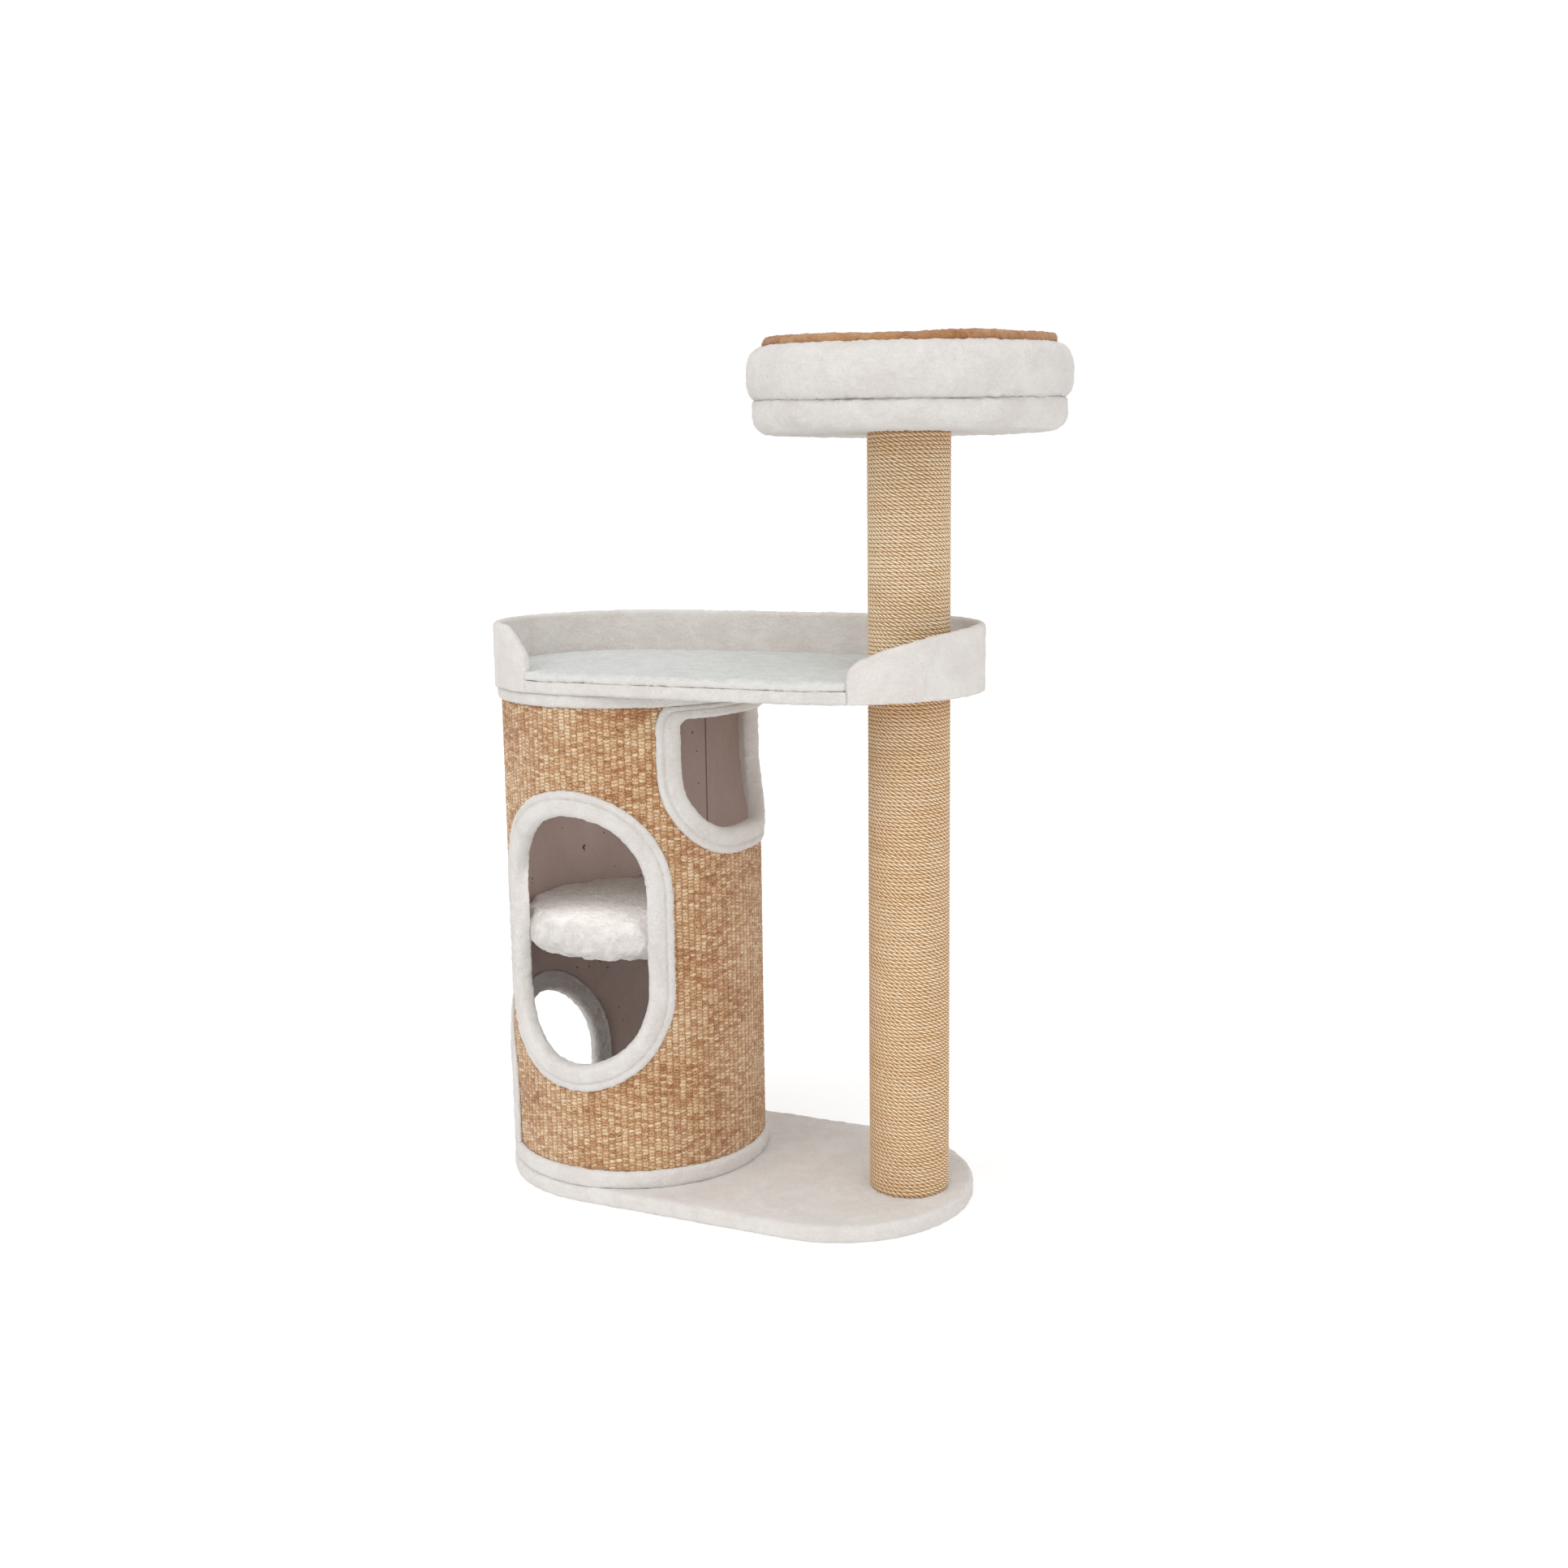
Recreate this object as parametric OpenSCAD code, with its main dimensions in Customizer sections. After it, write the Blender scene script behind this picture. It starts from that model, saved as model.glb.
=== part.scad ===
// Cat tree: a sisal-covered barrel den and a rope-wound post on one base board,
// a walled lying platform on top of both, and a round bed on the upper post.
// Origin: centre of the base's underside. +Z up, +X from the barrel to the post, front is -Y.

/* [Base] */
// Length of the plush-covered base, end to end
base_len = 758; // [700:1:900]
// Width of the plush-covered base
base_w = 413; // [380:1:480]
// Thickness of the base board
base_board_t = 18; // [15:1:25]
// Plush thickness on top of the base board and round its edge
base_plush_t = 4; // [3:0.5:5]
// Thickness of the felt sheet glued under the base
underlay_t = 2; // [1.5:0.5:3]

/* [Barrel] */
// Distance of the barrel axis from the middle of the base
barrel_offset = 173; // [160:1:185]
// Diameter over the sisal fabric
barrel_d = 399; // [360:1:410]
// Height of the barrel, from the base plush to the platform's underside
barrel_h = 753; // [700:1:900]
// Wall of the board tube
shell_t = 8; // [6:1:12]
// Thickness of the woven sisal fabric
sisal_t = 4; // [3:0.5:5]
// Thickness of the inner lining fabric
lining_t = 1.5; // [1:0.5:2]
// Thickness of the round boards inside the tube, and of the shelf board
disc_t = 12; // [9:1:15]
// Thickness of the plush mat on the barrel floor
floor_mat_t = 4; // [3:1:6]
// Height of the plush band round the foot of the barrel
foot_band_h = 27; // [20:1:35]
// Height of the plush band round the head of the barrel
head_band_h = 19; // [15:1:30]
// How far the foot and head bands stand out from the sisal
band_proud = 5; // [3:0.5:7]
// Width of the tape over the lining's seam
tape_w = 14; // [10:1:20]
// Thickness of the tape over the lining's seam
tape_t = 0.6; // [0.4:0.1:1]
// Angle of the lining's seam, from the front towards the post
tape_angle = 169; // [150:1:180]

/* [Shelf in the barrel] */
// Height of the padded shelf's underside above the base plush
shelf_rise = 350; // [330:1:370]
// Thickness of the padded shelf, board and foam in one plush cover
shelf_t = 50; // [40:1:60]
// Plush thickness of the shelf's cover
shelf_plush_t = 4; // [3:0.5:5]

/* [Openings] */
// Plush thickness of the trim over an opening's cut edge and on both faces
trim_t = 4.5; // [3:0.5:6]
// Width of the trim on the barrel's outer face
trim_w = 37; // [30:1:45]
// Half width of the front opening, along the curved face
front_half = 120; // [100:1:125]
// Height of the front opening's lowest point above the base plush
front_low = 188.5; // [170:0.5:210]
// Height of the front opening
front_h = 384; // [340:1:400]
// Half width of the upper side opening, along the curved face
upper_half = 138; // [110:1:140]
// Depth of the upper side opening's top edge below the head band
upper_drop = 20; // [15:1:30]
// Height of the upper side opening
upper_h = 174; // [150:1:190]
// Radius of the upper side opening's lower corners
upper_low_r = 100; // [60:1:105]
// Radius of the upper side opening's top corners
upper_top_r = 14; // [8:1:20]
// Half width of the lower side doorway, along the curved face
lower_half = 122; // [100:1:125]
// Height of the lower side doorway above the foot band
lower_h = 202; // [180:1:220]

/* [Posts] */
// Distance of the posts' axis from the middle of the base
post_offset = 289; // [270:1:300]
// Outer diameter of a post over its rope
post_d = 120; // [100:1:130]
// Diameter of the wound jute rope
rope_d = 6; // [5:0.5:8]
// Wall of a post's board tube
tube_t = 5; // [4:1:8]
// Length of the upper post
upper_post_len = 351; // [300:1:450]
// Height of the plug glued into each end of a post
plug_h = 25; // [20:1:35]

/* [Platform] */
// Length of the platform's outline over its rim wall
platform_len = 774; // [740:1:900]
// Width of the platform's outline over its rim wall
platform_w = 416; // [400:1:480]
// Distance of the left round end's centre from the middle of the base
platform_left = 173; // [165:1:185]
// Thickness of the platform board
platform_board_t = 15; // [12:1:18]
// Thickness of the plush under the board and on its front edge
platform_plush_t = 3; // [2:0.5:4]
// Thickness of the lying mat
mat_t = 13; // [10:1:20]

/* [Rim wall] */
// Thickness of the finished wall, core and plush together
wall_t = 12; // [10:1:15]
// Thickness of the bent board inside the wall
wall_core_t = 4; // [3:0.5:5]
// Height of the finished wall from the platform's underside
wall_h = 96; // [80:1:120]
// Height of the wall where its front ends start to rise
wall_end_h = 40; // [34:1:50]
// Distance of the left front end from the left round end's centre
wall_left_x = 64; // [50:1:90]
// Distance over which the left end rises to full height
wall_left_ramp = 50; // [40:1:80]
// Distance of the right front end from the right round end's centre
wall_right_x = 81; // [60:1:100]

/* [Bed] */
// Outer diameter of the bed's base pad
pad_d = 434; // [400:1:460]
// Height of the bed's base pad
pad_h = 41; // [36:1:50]
// Plush thickness of the base pad's cover
pad_plush_t = 4; // [3:0.5:5]
// Outer diameter of the bolster
bolster_d = 453; // [420:1:480]
// Width of the bolster's section
bolster_w = 66; // [55:1:75]
// Height of the bolster's section
bolster_h = 73; // [60:1:85]
// Diameter of the liner's rim, which lies on the bolster
liner_rim_d = 410; // [380:1:430]
// Thickness of the liner's rim and wall
liner_t = 10; // [8:1:14]
// Thickness of the liner's floor, foam included
liner_floor_t = 22; // [18:1:30]

/* [Fasteners] */
// Thread diameter of the post bolts and the stud
bolt_d = 8; // [6:1:10]
// Width across flats of a bolt's hexagon head
bolt_head_w = 13; // [10:1:17]
// Height of a bolt's head
bolt_head_h = 5.3; // [4:0.1:7]
// Outer diameter of a washer
washer_d = 24; // [18:1:30]
// Thickness of a washer
washer_t = 2; // [1.5:0.5:3]
// Shank diameter of a wood screw
screw_d = 4; // [3:0.5:5]
// Head diameter of a wood screw
screw_head_d = 8; // [6:0.5:10]

/* [Hidden] */
$fn = 96;

// Clearances
hole_clear = 0.5;   // a bolt in its drilled hole, on the radius
screw_clear = 0.05; // a screw in its pilot hole, on the radius
head_sink = 0.4;    // a screw head below the curved face it is driven through
seat_gap = 0.4;     // soft pieces that lie against each other
lift_gap = 1.2;     // the liner against the bolster, on the radius
past = 1;           // how far a cut runs past the face it opens

// Base levels
board_z = underlay_t;
board_top = board_z + base_board_t;
base_top = board_top + base_plush_t;
base_end = (base_len - base_w) / 2;

// Barrel radii, from outside to inside
sisal_r = barrel_d / 2;
shell_r = sisal_r - sisal_t;
shell_in_r = shell_r - shell_t;
lining_r = shell_in_r - lining_t;
flap_r = lining_r - trim_t;
band_r = sisal_r + band_proud;

// Barrel levels
barrel_top = base_top + barrel_h;
sisal_z = base_top + foot_band_h;
sisal_top = barrel_top - head_band_h;
floor_z = base_top + disc_t;
cabin_z = floor_z + floor_mat_t;
roof_z = barrel_top - disc_t;
shelf_z = base_top + shelf_rise;
shelf_top = shelf_z + shelf_t;
shelf_board_z = shelf_z + shelf_plush_t;
shelf_foam_z = shelf_board_z + disc_t;
shelf_foam_t = shelf_t - disc_t - 2 * shelf_plush_t;
shelf_r = flap_r - seat_gap;
shelf_board_r = shelf_r - shelf_plush_t - disc_t;
shelf_power = 3;

// Openings: [half width, low, high, lower corner radius, upper corner radius]
front_z = base_top + front_low;
upper_z = sisal_top - upper_drop - upper_h;
FRONT = [front_half, front_z, front_z + front_h, front_half, front_half];
UPPER = [upper_half, upper_z, upper_z + upper_h, upper_low_r, upper_top_r];
LOWER = [lower_half, sisal_z, sisal_z + lower_h, 0, lower_half];
front_side = 0;
upper_side = 90;
lower_side = -90;
corner_steps = 12;

// Platform levels and outline
deck_z = barrel_top;
deck_board_z = deck_z + platform_plush_t;
deck_board_top = deck_board_z + platform_board_t;
wall_top = deck_z + wall_h;
deck_r = platform_w / 2;
deck_right = platform_len - platform_w - platform_left;
core_in_r = deck_r - (wall_t + wall_core_t) / 2;
core_out_r = core_in_r + wall_core_t;
wall_skin = (wall_t - wall_core_t) / 2;
wall_right_ramp = deck_r - wall_right_x;
ramp_steps = 14;
ramp_power = 0.55;

// Posts
rope_r = post_d / 2;
tube_r = rope_r - rope_d;
plug_r = tube_r - tube_t;
lower_post_z = base_top;
lower_post_len = deck_z - base_top;
upper_post_z = deck_board_top;
bed_z = upper_post_z + upper_post_len;

// Bed
bed_board_t = 12;
bed_board_z = bed_z + pad_plush_t;
bed_board_top = bed_board_z + bed_board_t;
pad_r = pad_d / 2;
pad_top = bed_z + pad_h;
pad_edge_r = 15;
bed_board_r = pad_r - pad_edge_r;
foam_top = pad_top - pad_plush_t;
bolster_mid_r = (bolster_d - bolster_w) / 2;
bolster_mid_z = pad_top + bolster_h / 2;
bolster_in_r = bolster_mid_r - bolster_w / 2;
bolster_power = 2.4;
liner_r = bolster_in_r - lift_gap;
liner_z = pad_top + seat_gap;
liner_rim_z = pad_top + bolster_h + seat_gap;
liner_top = liner_rim_z + liner_t;
liner_floor = liner_z + liner_floor_t;
liner_skin = 4;

// Fastener sizes
bolt_r = bolt_d / 2;
head_pocket_r = washer_d / 2 + past;
head_stack = washer_t + bolt_head_h;
insert_r = bolt_r + 3;
insert_h = 18;
bolt_grip = 22;
stud_len = platform_board_t + platform_plush_t + 2 * bolt_grip;
screw_r = screw_d / 2;
screw_head_t = 2.5;
disc_screw_ring = 0.8 * shell_in_r;
disc_screw_count = 4;
hoop_screw_len = 24;
shelf_screw_len = shell_r - shelf_board_r + 20;
hoop_screw_angles = [22.5, 67.5, 112.5, 157.5, 202.5, 247.5, 292.5, 337.5];
shelf_screw_angles = [62, 118, 180, 242, 298];
wall_screw_angles = [112, 146, 180, 214, 248];
wall_screw_len = 20;

plush = [0.93, 0.90, 0.88];
mat_grey = [0.87, 0.88, 0.88];
sisal = [0.76, 0.55, 0.34];
jute = [0.84, 0.68, 0.46];
brown = [0.70, 0.49, 0.30];
mauve = [0.49, 0.43, 0.43];
wood = [0.80, 0.66, 0.47];
card = [0.66, 0.52, 0.37];
foam = [0.95, 0.92, 0.78];
steel = [0.72, 0.73, 0.75];
felt = [0.30, 0.30, 0.31];
plastic = [0.16, 0.16, 0.17];

// ---- shared shapes ----

// A straight board outline with two round ends of radius r
module stadium(x_left, x_right, r) {
    translate([x_left, 0]) circle(r);
    translate([x_right, 0]) circle(r);
    translate([x_left, -r]) square([x_right - x_left, 2 * r]);
}

module base_outline(inset) {
    stadium(-base_end, base_end, base_w / 2 - inset);
}

module deck_outline(inset) {
    stadium(-platform_left, deck_right, deck_r - inset);
}

module tube(r_out, r_in, h) {
    difference() {
        cylinder(r = r_out, h = h);
        translate([0, 0, -past]) cylinder(r = r_in, h = h + 2 * past);
    }
}

module at_barrel(z = 0) {
    translate([-barrel_offset, 0, z]) children();
}

module at_post(z = 0) {
    translate([post_offset, 0, z]) children();
}

function arc_points(cx, cz, r, from, to) = [
    for (i = [0 : corner_steps])
        let (a = from + (to - from) * i / corner_steps) [cx + r * cos(a), cz + r * sin(a)]
];

// An opening's outline on the barrel's unrolled face, grown outwards by g.
// A square lower corner (radius 0) keeps its level, because a band closes it below.
function window_points(w, g) =
    let (
        half = w[0] + g,
        low = w[3] > 0 ? w[1] - g : w[1],
        r_low = w[3] > 0 ? w[3] + g : past / 10,
        r_top = w[4] + g,
        top = min(w[2] + g, sisal_top),
        right = concat(
            arc_points(half - r_low, low + r_low, r_low, -90, 0),
            arc_points(half - r_top, top - r_top, r_top, 0, 90)
        )
    )
    concat(right, [for (i = [len(right) - 1 : -1 : 0]) [-right[i][0], right[i][1]]]);

// The same outline seen square on, as a saw would cut it through the curved wall
module window_cut(w, g, side) {
    turned = [for (p = window_points(w, g)) [sisal_r * sin(p[0] / sisal_r * 180 / PI), p[1]]];
    rotate([0, 0, side]) rotate([90, 0, 0]) linear_extrude(height = band_r + past) polygon(turned);
}

module all_cuts(g) {
    window_cut(FRONT, g, front_side);
    window_cut(UPPER, g, upper_side);
    window_cut(LOWER, g, lower_side);
}

// Plush edging of one opening: a flap on each face of the wall, joined round the cut edge
module window_trim(w, side) {
    difference() {
        intersection() {
            translate([0, 0, cabin_z]) tube(sisal_r + trim_t, flap_r, sisal_top - cabin_z);
            window_cut(w, trim_w, side);
        }
        window_cut(w, 0, side);
        difference() {
            translate([0, 0, base_top]) tube(sisal_r, lining_r, barrel_h);
            window_cut(w, trim_t, side);
        }
    }
}

module wood_screw(len) {
    cylinder(r = screw_r, h = len - screw_r);
    translate([0, 0, len - screw_r]) cylinder(r1 = screw_r, r2 = screw_r / 4, h = screw_r, $fn = 24);
    cylinder(r1 = screw_head_d / 2, r2 = screw_r, h = screw_head_t);
}

module screw_hole(len) {
    cylinder(r = screw_r + screw_clear, h = len + screw_clear);
    translate([0, 0, -past]) cylinder(r = screw_head_d / 2 + screw_clear, h = past);
    cylinder(r1 = screw_head_d / 2 + screw_clear, r2 = screw_r + screw_clear, h = screw_head_t + screw_clear);
}

// Screws that point at the barrel's axis, heads under the sisal
module round_the_barrel(angles, z) {
    for (a = angles) rotate([0, 0, a]) translate([0, head_sink - shell_r, z]) rotate([-90, 0, 0]) children();
}

module on_disc_ring() {
    for (i = [0 : disc_screw_count - 1])
        rotate([0, 0, 45 + 360 / disc_screw_count * i]) translate([disc_screw_ring, 0, 0]) children();
}

module hex_bolt(len) {
    cylinder(r = bolt_r, h = len);
    translate([0, 0, -bolt_head_h]) cylinder(r = bolt_head_w / sqrt(3), h = bolt_head_h, $fn = 6);
}

module plug(insert_at_top) {
    difference() {
        cylinder(r = plug_r, h = plug_h);
        translate([0, 0, -past]) cylinder(r = bolt_r + hole_clear, h = plug_h + 2 * past);
        translate([0, 0, insert_at_top ? plug_h - insert_h : -past])
            cylinder(r = insert_r, h = insert_h + past);
    }
}

module insert() {
    tube(insert_r, bolt_r, insert_h);
}

// ---- base ----

base_screw_len = base_board_t + base_plush_t + disc_t - 6;

module base_board() {
    color(wood) difference() {
        translate([0, 0, board_z]) linear_extrude(height = base_board_t) base_outline(base_plush_t);
        at_post(board_z - past) cylinder(r = bolt_r + hole_clear, h = base_board_t + 2 * past);
        at_post(board_z - past) cylinder(r = head_pocket_r, h = head_stack + past);
        at_barrel(board_z) on_disc_ring() screw_hole(base_screw_len);
    }
}

module base_cover() {
    color(plush) difference() {
        linear_extrude(height = base_top) base_outline(0);
        translate([0, 0, -past]) linear_extrude(height = board_top + past) base_outline(base_plush_t);
        at_post(board_top - past) cylinder(r = bolt_r + hole_clear, h = base_plush_t + 2 * past);
        at_barrel(board_z) on_disc_ring() screw_hole(base_screw_len);
    }
}

module base_underlay() {
    color(felt) difference() {
        linear_extrude(height = underlay_t) base_outline(base_plush_t);
        at_post(-past) cylinder(r = head_pocket_r, h = underlay_t + 2 * past);
        at_barrel(-past) on_disc_ring() cylinder(r = screw_head_d / 2 + past, h = underlay_t + 2 * past);
    }
}

// ---- barrel ----

module hoop_holes() {
    round_the_barrel(hoop_screw_angles, base_top + disc_t / 2) screw_hole(hoop_screw_len);
    round_the_barrel(hoop_screw_angles, barrel_top - disc_t / 2) screw_hole(hoop_screw_len);
    round_the_barrel(shelf_screw_angles, shelf_board_z + disc_t / 2) screw_hole(shelf_screw_len);
}

module barrel_shell() {
    color(card) at_barrel() difference() {
        translate([0, 0, base_top]) tube(shell_r, shell_in_r, barrel_h);
        all_cuts(trim_t);
        hoop_holes();
    }
}

module barrel_lining() {
    color(mauve) at_barrel() difference() {
        translate([0, 0, floor_z]) tube(shell_in_r, lining_r, roof_z - floor_z);
        all_cuts(trim_t);
        hoop_holes();
    }
}

module lining_seam_tape() {
    color(mauve) at_barrel() intersection() {
        translate([0, 0, shelf_top]) tube(lining_r, lining_r - tape_t, roof_z - shelf_top);
        rotate([0, 0, tape_angle]) translate([-tape_w / 2, -shell_r, 0]) cube([tape_w, shell_r, barrel_top]);
    }
}

module sisal_cover() {
    color(sisal) at_barrel() difference() {
        translate([0, 0, sisal_z]) tube(sisal_r, shell_r, sisal_top - sisal_z);
        all_cuts(trim_t);
    }
}

module barrel_bottom_board() {
    color(wood) at_barrel() difference() {
        translate([0, 0, base_top]) cylinder(r = shell_in_r, h = disc_t);
        translate([0, 0, board_z]) on_disc_ring() screw_hole(base_screw_len);
        hoop_holes();
    }
}

module barrel_floor_mat() {
    color(plush) at_barrel(floor_z) cylinder(r = lining_r, h = floor_mat_t);
}

roof_screw_len = disc_t + platform_plush_t + platform_board_t - 4;

module barrel_top_board() {
    color(wood) at_barrel() difference() {
        translate([0, 0, roof_z]) cylinder(r = shell_in_r, h = disc_t);
        translate([0, 0, roof_z]) on_disc_ring() screw_hole(roof_screw_len);
        hoop_holes();
    }
}

module shelf_board() {
    color(wood) at_barrel() difference() {
        translate([0, 0, shelf_board_z]) cylinder(r = shelf_board_r, h = disc_t);
        hoop_holes();
    }
}

module shelf_foam() {
    color(foam) at_barrel(shelf_foam_z) cylinder(r = shelf_board_r, h = shelf_foam_t);
}

// Half outline of a padded disc with a full, rounded edge
function padded_edge(r, h, power) = [
    for (i = [0 : 2 * corner_steps])
        let (a = -90 + 90 * i / corner_steps, c = cos(a), s = sin(a))
        [r - h / 2 + h / 2 * pow(max(c, 0), 2 / power), h / 2 + h / 2 * sign(s) * pow(abs(s), 2 / power)]
];

module shelf_cover() {
    color(plush) at_barrel() difference() {
        translate([0, 0, shelf_z]) rotate_extrude()
            polygon(concat([[0, 0]], padded_edge(shelf_r, shelf_t, shelf_power), [[0, shelf_t]]));
        translate([0, 0, shelf_board_z]) cylinder(r = shelf_board_r, h = disc_t + shelf_foam_t);
        hoop_holes();
    }
}

module front_opening_trim() {
    color(plush) at_barrel() window_trim(FRONT, front_side);
}

module upper_opening_trim() {
    color(plush) at_barrel() window_trim(UPPER, upper_side);
}

module lower_opening_trim() {
    color(plush) at_barrel() window_trim(LOWER, lower_side);
}

module barrel_foot_band() {
    color(plush) at_barrel(base_top) tube(band_r, shell_r, foot_band_h);
}

module barrel_head_band() {
    color(plush) at_barrel(sisal_top) tube(band_r, shell_r, head_band_h);
}

module shelf_screws() {
    color(steel) at_barrel()
        round_the_barrel(shelf_screw_angles, shelf_board_z + disc_t / 2) wood_screw(shelf_screw_len);
}

module barrel_hoop_screws() {
    color(steel) at_barrel() {
        round_the_barrel(hoop_screw_angles, base_top + disc_t / 2) wood_screw(hoop_screw_len);
        round_the_barrel(hoop_screw_angles, barrel_top - disc_t / 2) wood_screw(hoop_screw_len);
    }
}

module barrel_base_screws() {
    color(steel) at_barrel(board_z) on_disc_ring() wood_screw(base_screw_len);
}

module barrel_platform_screws() {
    color(steel) at_barrel(roof_z) on_disc_ring() wood_screw(roof_screw_len);
}

// ---- posts ----

module lower_post_tube() {
    color(card) at_post(lower_post_z) tube(tube_r, plug_r, lower_post_len);
}

module lower_post_bottom_plug() {
    color(plastic) at_post(lower_post_z) plug(true);
}

module lower_post_top_plug() {
    color(plastic) at_post(deck_z - plug_h) plug(false);
}

module lower_post_rope() {
    color(jute) at_post(lower_post_z) tube(rope_r, tube_r, lower_post_len);
}

module upper_post_tube() {
    color(card) at_post(upper_post_z) tube(tube_r, plug_r, upper_post_len);
}

module upper_post_bottom_plug() {
    color(plastic) at_post(upper_post_z) plug(true);
}

module upper_post_top_plug() {
    color(plastic) at_post(bed_z - plug_h) plug(false);
}

module upper_post_rope() {
    color(jute) at_post(upper_post_z) tube(rope_r, tube_r, upper_post_len);
}

module post_inserts() {
    color(steel) {
        at_post(lower_post_z + plug_h - insert_h) insert();
        at_post(deck_z - plug_h) insert();
        at_post(upper_post_z + plug_h - insert_h) insert();
        at_post(bed_z - plug_h) insert();
    }
}

module base_post_washer() {
    color(steel) at_post(board_z + bolt_head_h) tube(washer_d / 2, bolt_r, washer_t);
}

module base_post_bolt() {
    color(steel) at_post(board_z + bolt_head_h) hex_bolt(base_top - board_z - bolt_head_h + bolt_grip);
}

module platform_stud() {
    color(steel) at_post(deck_z - bolt_grip) cylinder(r = bolt_r, h = stud_len);
}

module bed_washer() {
    color(steel) at_post(bed_board_top) tube(washer_d / 2, bolt_r, washer_t);
}

module bed_bolt() {
    color(steel) at_post(bed_board_top + washer_t) mirror([0, 0, 1])
        hex_bolt(washer_t + bed_board_t + pad_plush_t + bolt_grip);
}

// ---- platform ----

// Everything on or behind the wall's front ends, seen from above
module wall_reach() {
    far = platform_len;
    translate([-far, 0]) square([2 * far, far]);
    translate([-far, -far]) square([far - platform_left - wall_left_x, far]);
    translate([deck_right + wall_right_x, -far]) square([far, far]);
}

// The strip that the wall follows, between two insets of the platform's outline
module wall_strip(out_inset, in_inset) {
    intersection() {
        difference() {
            deck_outline(out_inset);
            deck_outline(in_inset);
        }
        wall_reach();
    }
}

// The board is cut back where the wall stands, so that wall and front edge end flush
module deck_board_outline(edge) {
    difference() {
        deck_outline(edge);
        wall_strip(-past, wall_t);
    }
}

module wall_screw_places() {
    for (a = wall_screw_angles) {
        x_end = a < 180 ? deck_right : -platform_left;
        x_at = a == 180 ? 0 : x_end;
        translate([x_at, 0, deck_board_z + platform_board_t / 2]) rotate([0, 0, a])
            translate([0, head_sink - core_out_r, 0]) rotate([-90, 0, 0]) children();
    }
}

module platform_board() {
    color(wood) difference() {
        translate([0, 0, deck_board_z]) linear_extrude(height = platform_board_t)
            deck_board_outline(platform_plush_t);
        at_post(deck_board_z - past) cylinder(r = bolt_r + hole_clear, h = platform_board_t + 2 * past);
        at_barrel(roof_z) on_disc_ring() screw_hole(roof_screw_len);
        wall_screw_places() screw_hole(wall_screw_len);
    }
}

module platform_cover() {
    color(plush) difference() {
        translate([0, 0, deck_z]) linear_extrude(height = platform_plush_t + platform_board_t)
            deck_board_outline(0);
        translate([0, 0, deck_board_z]) linear_extrude(height = platform_board_t + past)
            deck_board_outline(platform_plush_t);
        at_post(deck_z - past) cylinder(r = bolt_r + hole_clear, h = platform_plush_t + 2 * past);
        at_barrel(roof_z) on_disc_ring() screw_hole(roof_screw_len);
    }
}

module platform_mat() {
    color(mat_grey) difference() {
        translate([0, 0, deck_board_top]) linear_extrude(height = mat_t) deck_board_outline(0);
        at_post(deck_board_top - past) cylinder(r = rope_r + seat_gap, h = mat_t + 2 * past);
    }
}

// What is taken off above one front end: the wall rises from its end height to its full height
module end_ramp(length, rise, inset) {
    low = deck_z + wall_end_h - inset;
    curve = [for (i = [0 : ramp_steps])
        let (u = i / ramp_steps) [u * length, low + rise * pow(u, ramp_power)]];
    rotate([90, 0, 0]) linear_extrude(height = deck_r + past)
        polygon(concat([[-deck_r, low]], curve, [[length, wall_top + past], [-deck_r, wall_top + past]]));
}

// The wall between two insets and two levels, with its front ends sloped
module wall_band(out_inset, in_inset, low, high) {
    rise = wall_h - wall_end_h;
    inset = wall_top - high;
    difference() {
        translate([0, 0, low]) linear_extrude(height = high - low) wall_strip(out_inset, in_inset);
        translate([-platform_left - wall_left_x - inset, 0, 0])
            mirror([1, 0, 0]) end_ramp(wall_left_ramp, rise, inset);
        translate([deck_right + wall_right_x + inset, 0, 0]) end_ramp(wall_right_ramp, rise, inset);
    }
}

module wall_core_room() {
    difference() {
        wall_band(deck_r - core_out_r, deck_r - core_in_r, deck_z + wall_skin, wall_top - wall_skin);
        for (x = [-platform_left - wall_left_x - wall_skin, deck_right + wall_right_x - past])
            translate([x, -deck_r - past, deck_z]) cube([wall_skin + past, deck_r, wall_h]);
    }
}

module rim_wall_core() {
    color(card) difference() {
        wall_core_room();
        wall_screw_places() screw_hole(wall_screw_len);
    }
}

module rim_wall_cover() {
    color(plush) difference() {
        wall_band(0, wall_t, deck_z, wall_top);
        wall_core_room();
        wall_screw_places() screw_hole(wall_screw_len);
    }
}

module rim_wall_screws() {
    color(steel) wall_screw_places() wood_screw(wall_screw_len);
}

// ---- bed ----

module bed_board() {
    color(wood) at_post(bed_board_z) tube(bed_board_r, bolt_r + hole_clear, bed_board_t);
}

function pad_profile(r, h, edge) = concat(
    [[0, 0]],
    arc_points(r - edge, edge, edge, -90, 0),
    arc_points(r - edge, h - edge, edge, 0, 90),
    [[0, h]]
);

module bed_pad_cover() {
    color(plush) at_post(bed_z) difference() {
        rotate_extrude() polygon(pad_profile(pad_r, pad_h, pad_edge_r));
        translate([0, 0, pad_plush_t]) cylinder(r = bed_board_r, h = pad_h - 2 * pad_plush_t);
        translate([0, 0, -past]) cylinder(r = bolt_r + hole_clear, h = pad_h);
    }
}

module bed_pad_foam() {
    color(foam) at_post(bed_board_top) difference() {
        cylinder(r = bed_board_r, h = foam_top - bed_board_top);
        translate([0, 0, -past]) cylinder(r = head_pocket_r, h = head_stack + 2 * past);
    }
}

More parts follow.
